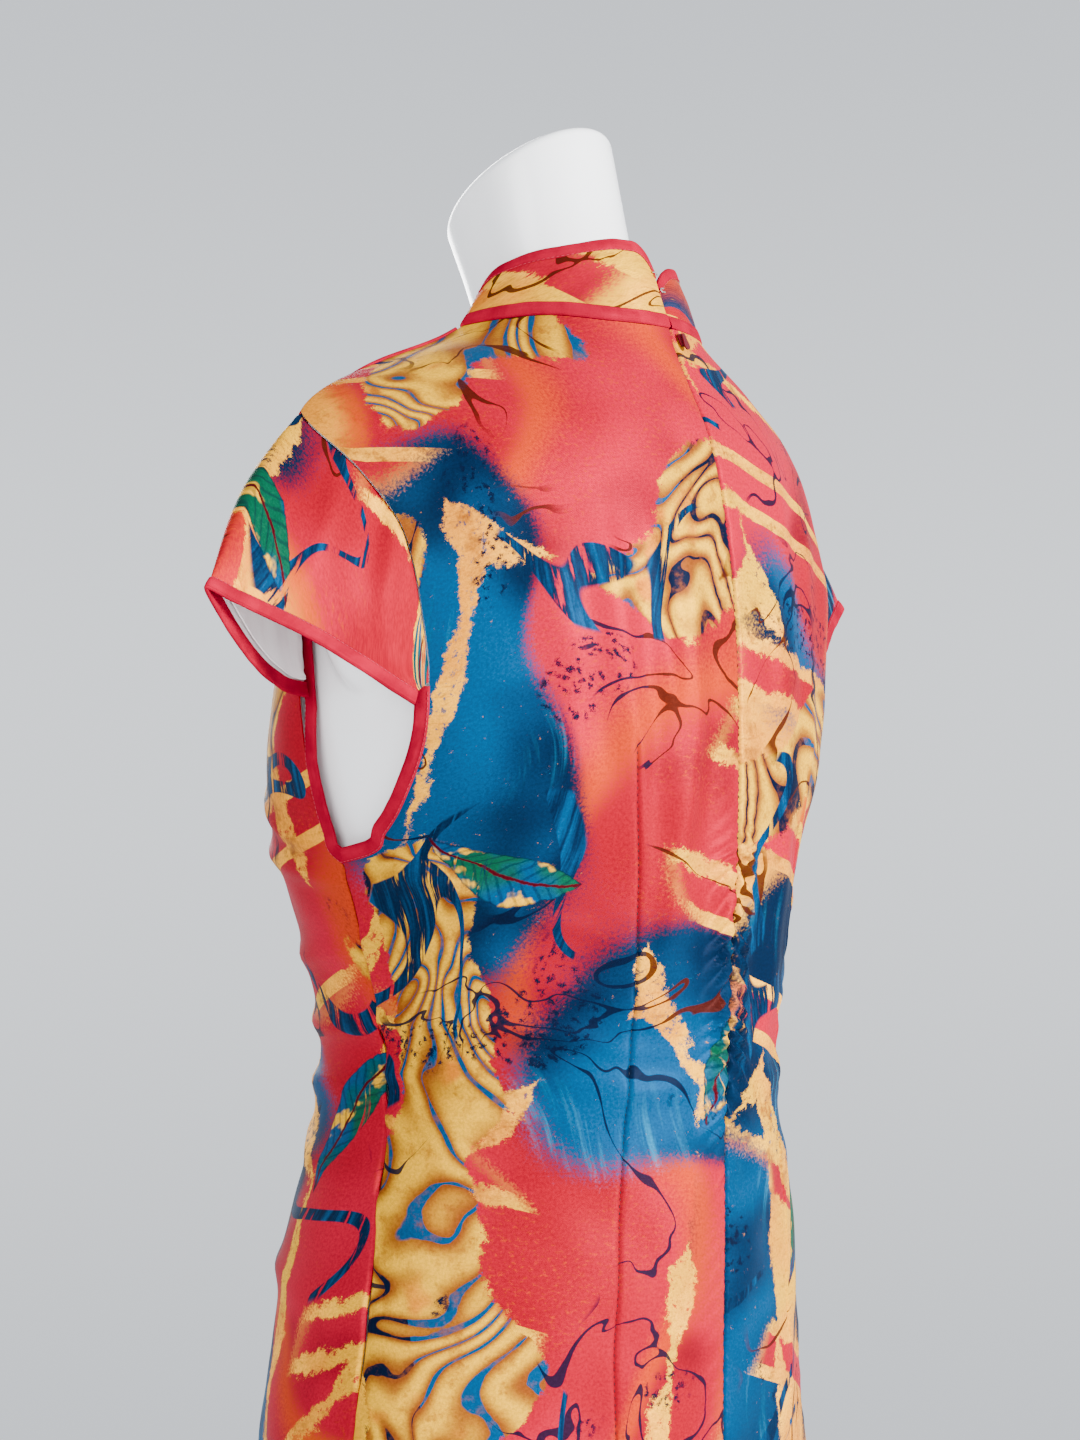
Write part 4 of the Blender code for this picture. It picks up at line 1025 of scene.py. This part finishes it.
def sleeveGrid():
    half = sleeve["steps"] // 2
    frontPlaces = armholeAt(np.linspace(sleeve["notch"], math.pi, half + 1), True)
    backPlaces = armholeAt(np.linspace(math.pi, sleeve["notch"], half + 1), False)[1:]
    places = np.concatenate([frontPlaces, backPlaces])
    top = onBody(places[:, 0], places[:, 1])
    run = runLength(top)
    share = run / run[-1]
    hem = rowsAt(sleeve["hem"], share)
    reach = np.linspace(0, 1, sleeve["across"] + 1)[None, :, None]
    grid = top[:, None] + (hem - top)[:, None] * reach
    for _ in range(3):  # eases the ridge over the shoulder
        grid[1:-1, 2:] = grid[1:-1, 2:] * 0.5 + (grid[:-2, 2:] + grid[2:, 2:]) * 0.25
    normal = unit(np.cross(np.gradient(grid, axis=1), np.gradient(grid, axis=0)))
    if normal[len(top) // 2, 3, 2] < 0:
        normal = -normal
    normal[0], normal[-1] = normal[1], normal[-2]
    return grid, normal, share[:, None], run


def sleeveRelief(around, reach, way):
    folds = 0 * around * reach
    for middle, level, slope, height, width, length in sleeve["dents"]:
        line = middle + way * 0.012 + (reach - level) * slope * 0.5
        folds = folds + height * bell(around, line, width) * bell(reach, level, length)
    gathers = 0.00035 * np.sin(around * 130 + 2 * np.sin(around * 21)) * bell(reach, 0.06, 0.10)
    small = folds + 0.0004 * uneven(around * 0.22, reach * 0.06, 0.018, way) + gathers
    bulge = np.sin(reach * math.pi) * np.sin(around * math.pi) * sleeve["bulge"]
    return bulge + small * smooth(reach, 0.0, 0.06) - sleeve["seamDepth"] * bell(reach, 0.0, 0.014)


def makeSleeve(side, right):
    name = "sleeve" + side
    grid, normal, around, run = sleeveGrid()
    reach = np.linspace(0, 1, grid.shape[1])[None]
    way = 1.0 if right else 0.0
    outer = grid + normal * sleeveRelief(around, reach, way)[..., None]
    inner = outer - normal * cloth["thickness"]
    across = np.linalg.norm(grid[:, -1] - grid[:, 0], axis=1)
    uv = np.stack([fanned(run, runLength(grid[:, -1]), reach), 1.0 - reach * across[:, None]], axis=-1)
    facing = mirrored(normal, right)
    clothShell(
        name, "sleeve_" + side.lower(), mirrored(outer, right), mirrored(inner, right), uv, facing
    )
    within = (slice(2, -2), slice(1, -1))
    lining = inner[within] - normal[within] * sleeve["liningDepth"]
    liningInner = lining - normal[within] * sleeve["liningThickness"]
    clothShell(
        "sleeveLining" + side, "sleeve_lining_" + side.lower(),
        mirrored(liningInner, right), mirrored(lining, right), uv[within], -facing[within],
        (liningSatin, liningSatin),
    )
    hem, seam = outer[:, -1], outer[:, 0]
    seamWay = unit(np.gradient(seam, axis=0))
    seamWay = seamWay * np.where(seamWay[:, 2:] > 0, -1.0, 1.0)
    nearEnd = 1 - np.sin(np.linspace(0, math.pi, len(hem)))[:, None]
    down = unit((hem - seam) + seamWay * nearEnd**2 * 0.017)
    face = unit(np.cross(down, np.gradient(hem, axis=0)))
    if face[len(face) // 2, 2] < 0:
        face = -face
    lines = [mirrored(line, right) for line in (hem, down, face)]
    size = (sleeve["binding"], -0.0006, 0.0002, 1.0 + way)
    boundEdge("sleeveBinding" + side, "sleeve_binding_" + side.lower(), lines, size, sleeve["sewnAt"])


for side, right in sides:
    makeSleeve(side, right)
print("sleeves made")

armholeBand = {"width": 0.0082, "sewnAt": 0.0005, "end": 9 / 16 * math.pi, "underSleeve": 0.0042}


def makeArmholeBinding(side, right):
    backPart = armholeAt(np.linspace(sleeve["notch"] * 0.985, 0, 70), False)
    frontPart = armholeAt(np.linspace(0, armholeBand["end"], 90)[1:], True)
    places = np.concatenate([backPart, frontPart])
    points = onBody(places[:, 0], places[:, 1])
    normals = bodyNormal(places[:, 0], places[:, 1])
    for _ in range(2):
        normals[1:-1] = unit(normals[:-2] + normals[1:-1] + normals[2:])
    deep = armholeBand["underSleeve"] * np.interp(points[:, 2], (1.170, 1.196), (0, 1)) * (points[:, 1] < 0)
    points = points - normals * deep[:, None]
    intoHole = unit(np.cross(np.gradient(points, axis=0), normals))
    for _ in range(4):
        intoHole[1:-1] = unit(intoHole[:-2] + intoHole[1:-1] + intoHole[2:])
    lines = [mirrored(line, right) for line in (points, intoHole, normals)]
    size = (armholeBand["width"], -0.0005, 0.0002, 4.0 + right)
    name, node = "armholeBinding" + side, "armhole_binding_" + side.lower()
    boundEdge(name, node, lines, size, armholeBand["sewnAt"])


for side, right in sides:
    makeArmholeBinding(side, right)
print("armhole bindings made")

collar = {
    # angle, height of the top edge on the left, on the right
    "top": (
        (0, 1.4285, 1.4190), (6, 1.4360, 1.4255), (12, 1.4410, 1.4290), (21, 1.4425, 1.4305),
        (46, 1.4395, 1.4290), (75, 1.4325, 1.4260), (86, 1.4270, 1.4220), (96, 1.4150, 1.4130),
        (110, 1.4050, 1.4040),
        (128, 1.3954, 1.3950), (155, 1.3790, 1.3790), (180, 1.3700, 1.3700),
    ),
    "halfWidth": 0.058, "back": 0.066, "front": 0.048, "middleY": 0.012, "opening": 0.0016, "rows": 15,
    "neckBand": 0.0078, "topBand": 0.0065, "sewnAt": 0.0004, "tuckedIn": 0.001, "roundedEnd": 0.010,
}


def collarLines(right):
    angles = np.concatenate([np.linspace(0, 14, 20)[:-1], np.linspace(14, 180, 130)])
    low = onBody(angles, necklineAt(angles, right))
    turn = np.radians(angles)
    depth = np.where(angles < 90, collar["back"], collar["front"])
    high = np.stack([
        collar["halfWidth"] * np.sin(turn), collar["middleY"] + depth * np.cos(turn),
        rowsAt(collar["top"], angles)[..., 1 if right else 0],
    ], axis=1)
    spread = np.interp(angles, (0, 8), (1, 0)) * collar["opening"] / 2
    low[:, 0] += spread
    high[:, 0] += spread
    return mirrored(low, right), mirrored(high, right)


def makeCollar():
    low, high = [np.concatenate([a, b[::-1][1:]]) for a, b in zip(collarLines(False), collarLines(True))]
    rise = high - low
    length = np.linalg.norm(rise, axis=1, keepdims=True)
    rise = rise / length
    face = unit(np.cross(np.gradient(low + high, axis=0), rise))
    if face[0, 1] < 0:
        face = -face
    run = runLength(low)
    start, end = collar["neckBand"] - collar["tuckedIn"], length - collar["topBand"] + collar["tuckedIn"]
    reach = np.linspace(0, 1, collar["rows"])
    grid = np.stack([low + rise * (start + (end - start) * share) for share in reach], axis=1)
    swell = 0.0008 * np.sin(reach * math.pi)[None]
    swell = swell + 0.0005 * uneven(run[:, None], reach[None] * 0.03, 0.020, 3.0)
    rounding = collar["roundedEnd"]
    ends = smooth(run, 0, rounding) * (1 - smooth(run, run[-1] - rounding, run[-1]))
    outer = grid + face[:, None] * (swell * ends[:, None])[..., None]
    inner = outer - face[:, None] * cloth["thickness"]
    tall = start + (end - start) * reach[None]
    uv = np.stack([fanned(run, runLength(high), reach[None]), tall + 0 * run[:, None]], axis=-1)
    facing = np.repeat(face[:, None], collar["rows"], axis=1)
    clothShell(
        "standCollar", "collar", outer, inner, uv, facing, (printedSatin, printedSatin),
    )
    size = (collar["neckBand"], 0.0004, 0.0003, 7.0)
    boundEdge("neckBinding", "neck_binding", (low, rise, face), size)
    edge = low + rise * (length - collar["topBand"])
    size = (collar["topBand"], 0.0, 0.00015, 9.0)
    boundEdge("collarBinding", "collar_binding", (edge, rise, face), size, collar["sewnAt"])


makeCollar()
print("collar made")

piping = {
    # share from the neck to the armhole, angle, height
    "rows": (
        (0.18, 98, 1.3825), (0.36, 98, 1.3750), (0.58, 113, 1.3610), (0.80, 128, 1.3300),
        (1.00, 118, 1.2850),
    ),
    "startAngle": 101, "startDrop": 0.0012, "radius": 0.0011, "lift": 0.0009, "sides": 12, "steps": 120,
}


def makePiping(side, right):
    start = (0.0, piping["startAngle"], float(necklineAt(piping["startAngle"], right)) - piping["startDrop"])
    places = rowsAt((start, *piping["rows"]), np.linspace(0, 1, piping["steps"]))
    line = onBody(places[:, 0], places[:, 1])
    normals = bodyNormal(places[:, 0], places[:, 1])
    across = unit(np.cross(normals, np.gradient(line, axis=0)))
    count, radius = piping["sides"], piping["radius"]
    turns = np.linspace(0, 2 * math.pi, count, endpoint=False)
    centre = line + normals * piping["lift"]
    rings = []
    for middle, aside, out in zip(centre, across, normals):
        ring = middle + aside * radius * np.cos(turns)[:, None] + out * radius * np.sin(turns)[:, None]
        rings.append(mirrored(ring, right))
    points, faces = ringMesh(rings)
    run = runLength(line)
    uv = np.stack([np.repeat(run, count), np.tile(turns * radius, len(run))], axis=1)
    uv = np.concatenate([uv, [[0, 0], [run[-1], 0]]])
    if not right:
        faces = [face[::-1] for face in faces]
    piece = finishMesh("piping" + side, points, faces, [bindingSatin], None, uv, 180)
    standsFor(piece, "piping_" + side.lower())


for side, right in sides:
    makePiping(side, right)
print("piping made")

# column of the back's grid, and the heights between which its stitches run
sewing = {
    "zip": (1, 0.66, 1.385), "dart": (dartColumn, seams["backEnds"][0] + 0.02, seams["backEnds"][1] - 0.002),
}
# the zip and dart stitches use the near-black thread, painted shade of the needle puckers along these seams
for side, (grid, normals) in backs.items():
    for seam, (column, bottom, top) in sewing.items():
        line, facing = grid[:, column], normals[:, column]
        keep = (line[:, 2] > bottom) & (line[:, 2] < top)
        line, facing = line[keep] + facing[keep] * seamStitch["rise"], facing[keep]
        stitchesAlong(seam + "Stitch" + side, line, facing, seamStitch, puckerShadeThread)

hardware = {
    "stand_base": brushedSteel, "stand_socket": brushedSteel, "stand_pole": brushedSteel,
    "zip_slider": zipEnamel, "zip_pull": zipEnamel, "collar_hook": nickel, "collar_eye": nickel,
}
for node, metal in hardware.items():
    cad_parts[node].material_slots[0].material = metal
print("sewing and metal made")

studio = {
    "cameraPlace": (1.6853, 1.4141, 1.19), "lens": 101.75, "floorReach": 3.2, "floor": ("D5D6D8", "DCDDDF"),
    "wall": "C7CBD0", "wallFar": "ACB0B6", "wallFade": 0.22, "wallLight": 2.1,
    # name, place, aimed at, size, power
    "lamps": (
        ("keyLamp", (-0.5, 3.6, 2.0), (0.0, 0.1, 1.15), 1.0, 480.0),
        ("fillLamp", (3.2, 0.9, 1.9), (0.0, 0.0, 1.10), 2.0, 90.0),
        ("frontLamp", (-1.6, -2.8, 2.2), (0.0, 0.0, 1.05), 2.0, 130.0),
    ),
}


def makeWall():
    world = bpy.data.worlds.new("studioWorld")
    bpy.context.scene.world = world
    world.use_nodes = True
    nodes, links = world.node_tree.nodes, world.node_tree.links
    backdrop = nodes["Background"]
    backdrop.inputs["Strength"].default_value = studio["wallLight"]
    way, split, level, fade = [
        nodes.new("ShaderNode" + kind) for kind in ("TexCoord", "SeparateXYZ", "Math", "ValToRGB")
    ]
    level.operation = "ABSOLUTE"
    fade.color_ramp.interpolation = "EASE"
    near, far = fade.color_ramp.elements
    near.color, far.color = colour(studio["wall"]), colour(studio["wallFar"])
    far.position = studio["wallFade"]
    links.new(way.outputs["Generated"], split.inputs[0])
    links.new(split.outputs["Z"], level.inputs[0])
    links.new(level.outputs[0], fade.inputs[0])
    links.new(fade.outputs[0], backdrop.inputs["Color"])


def makeFloor():
    f = Finish("floorPaint")
    cloud = f.noise(f.objectPlace(), 3.0, 3.0)
    paint = f.surface(Base_Color=f.blend(cloud, *[colour(code) for code in studio["floor"]]), Roughness=0.7)
    mesh = bpy.data.meshes.new("floor")
    turns, reach = np.linspace(0, 2 * math.pi, 97)[:-1], studio["floorReach"]
    rim = [(reach * math.cos(turn), reach * math.sin(turn), 0.0) for turn in turns]
    mesh.from_pydata(rim, [], [range(len(rim))])
    mesh.materials.append(paint)
    shown("floor", mesh)


def placed(name, data, place, target):
    piece = shown(name, data)
    piece.location = place
    piece.rotation_euler = (Vector(target) - Vector(place)).to_track_quat("-Z", "Y").to_euler()
    return piece


makeWall()
makeFloor()
for name, place, target, size, power in studio["lamps"]:
    light = bpy.data.lights.new(name, "AREA")
    light.shape = "DISK"
    light.size = size
    light.energy = power
    placed(name, light, place, target)
lens = bpy.data.cameras.new("camera")
lens.lens = studio["lens"]
aim = (0, 0, studio["cameraPlace"][2])
bpy.context.scene.camera = placed("camera", lens, studio["cameraPlace"], aim)
print("studio made")
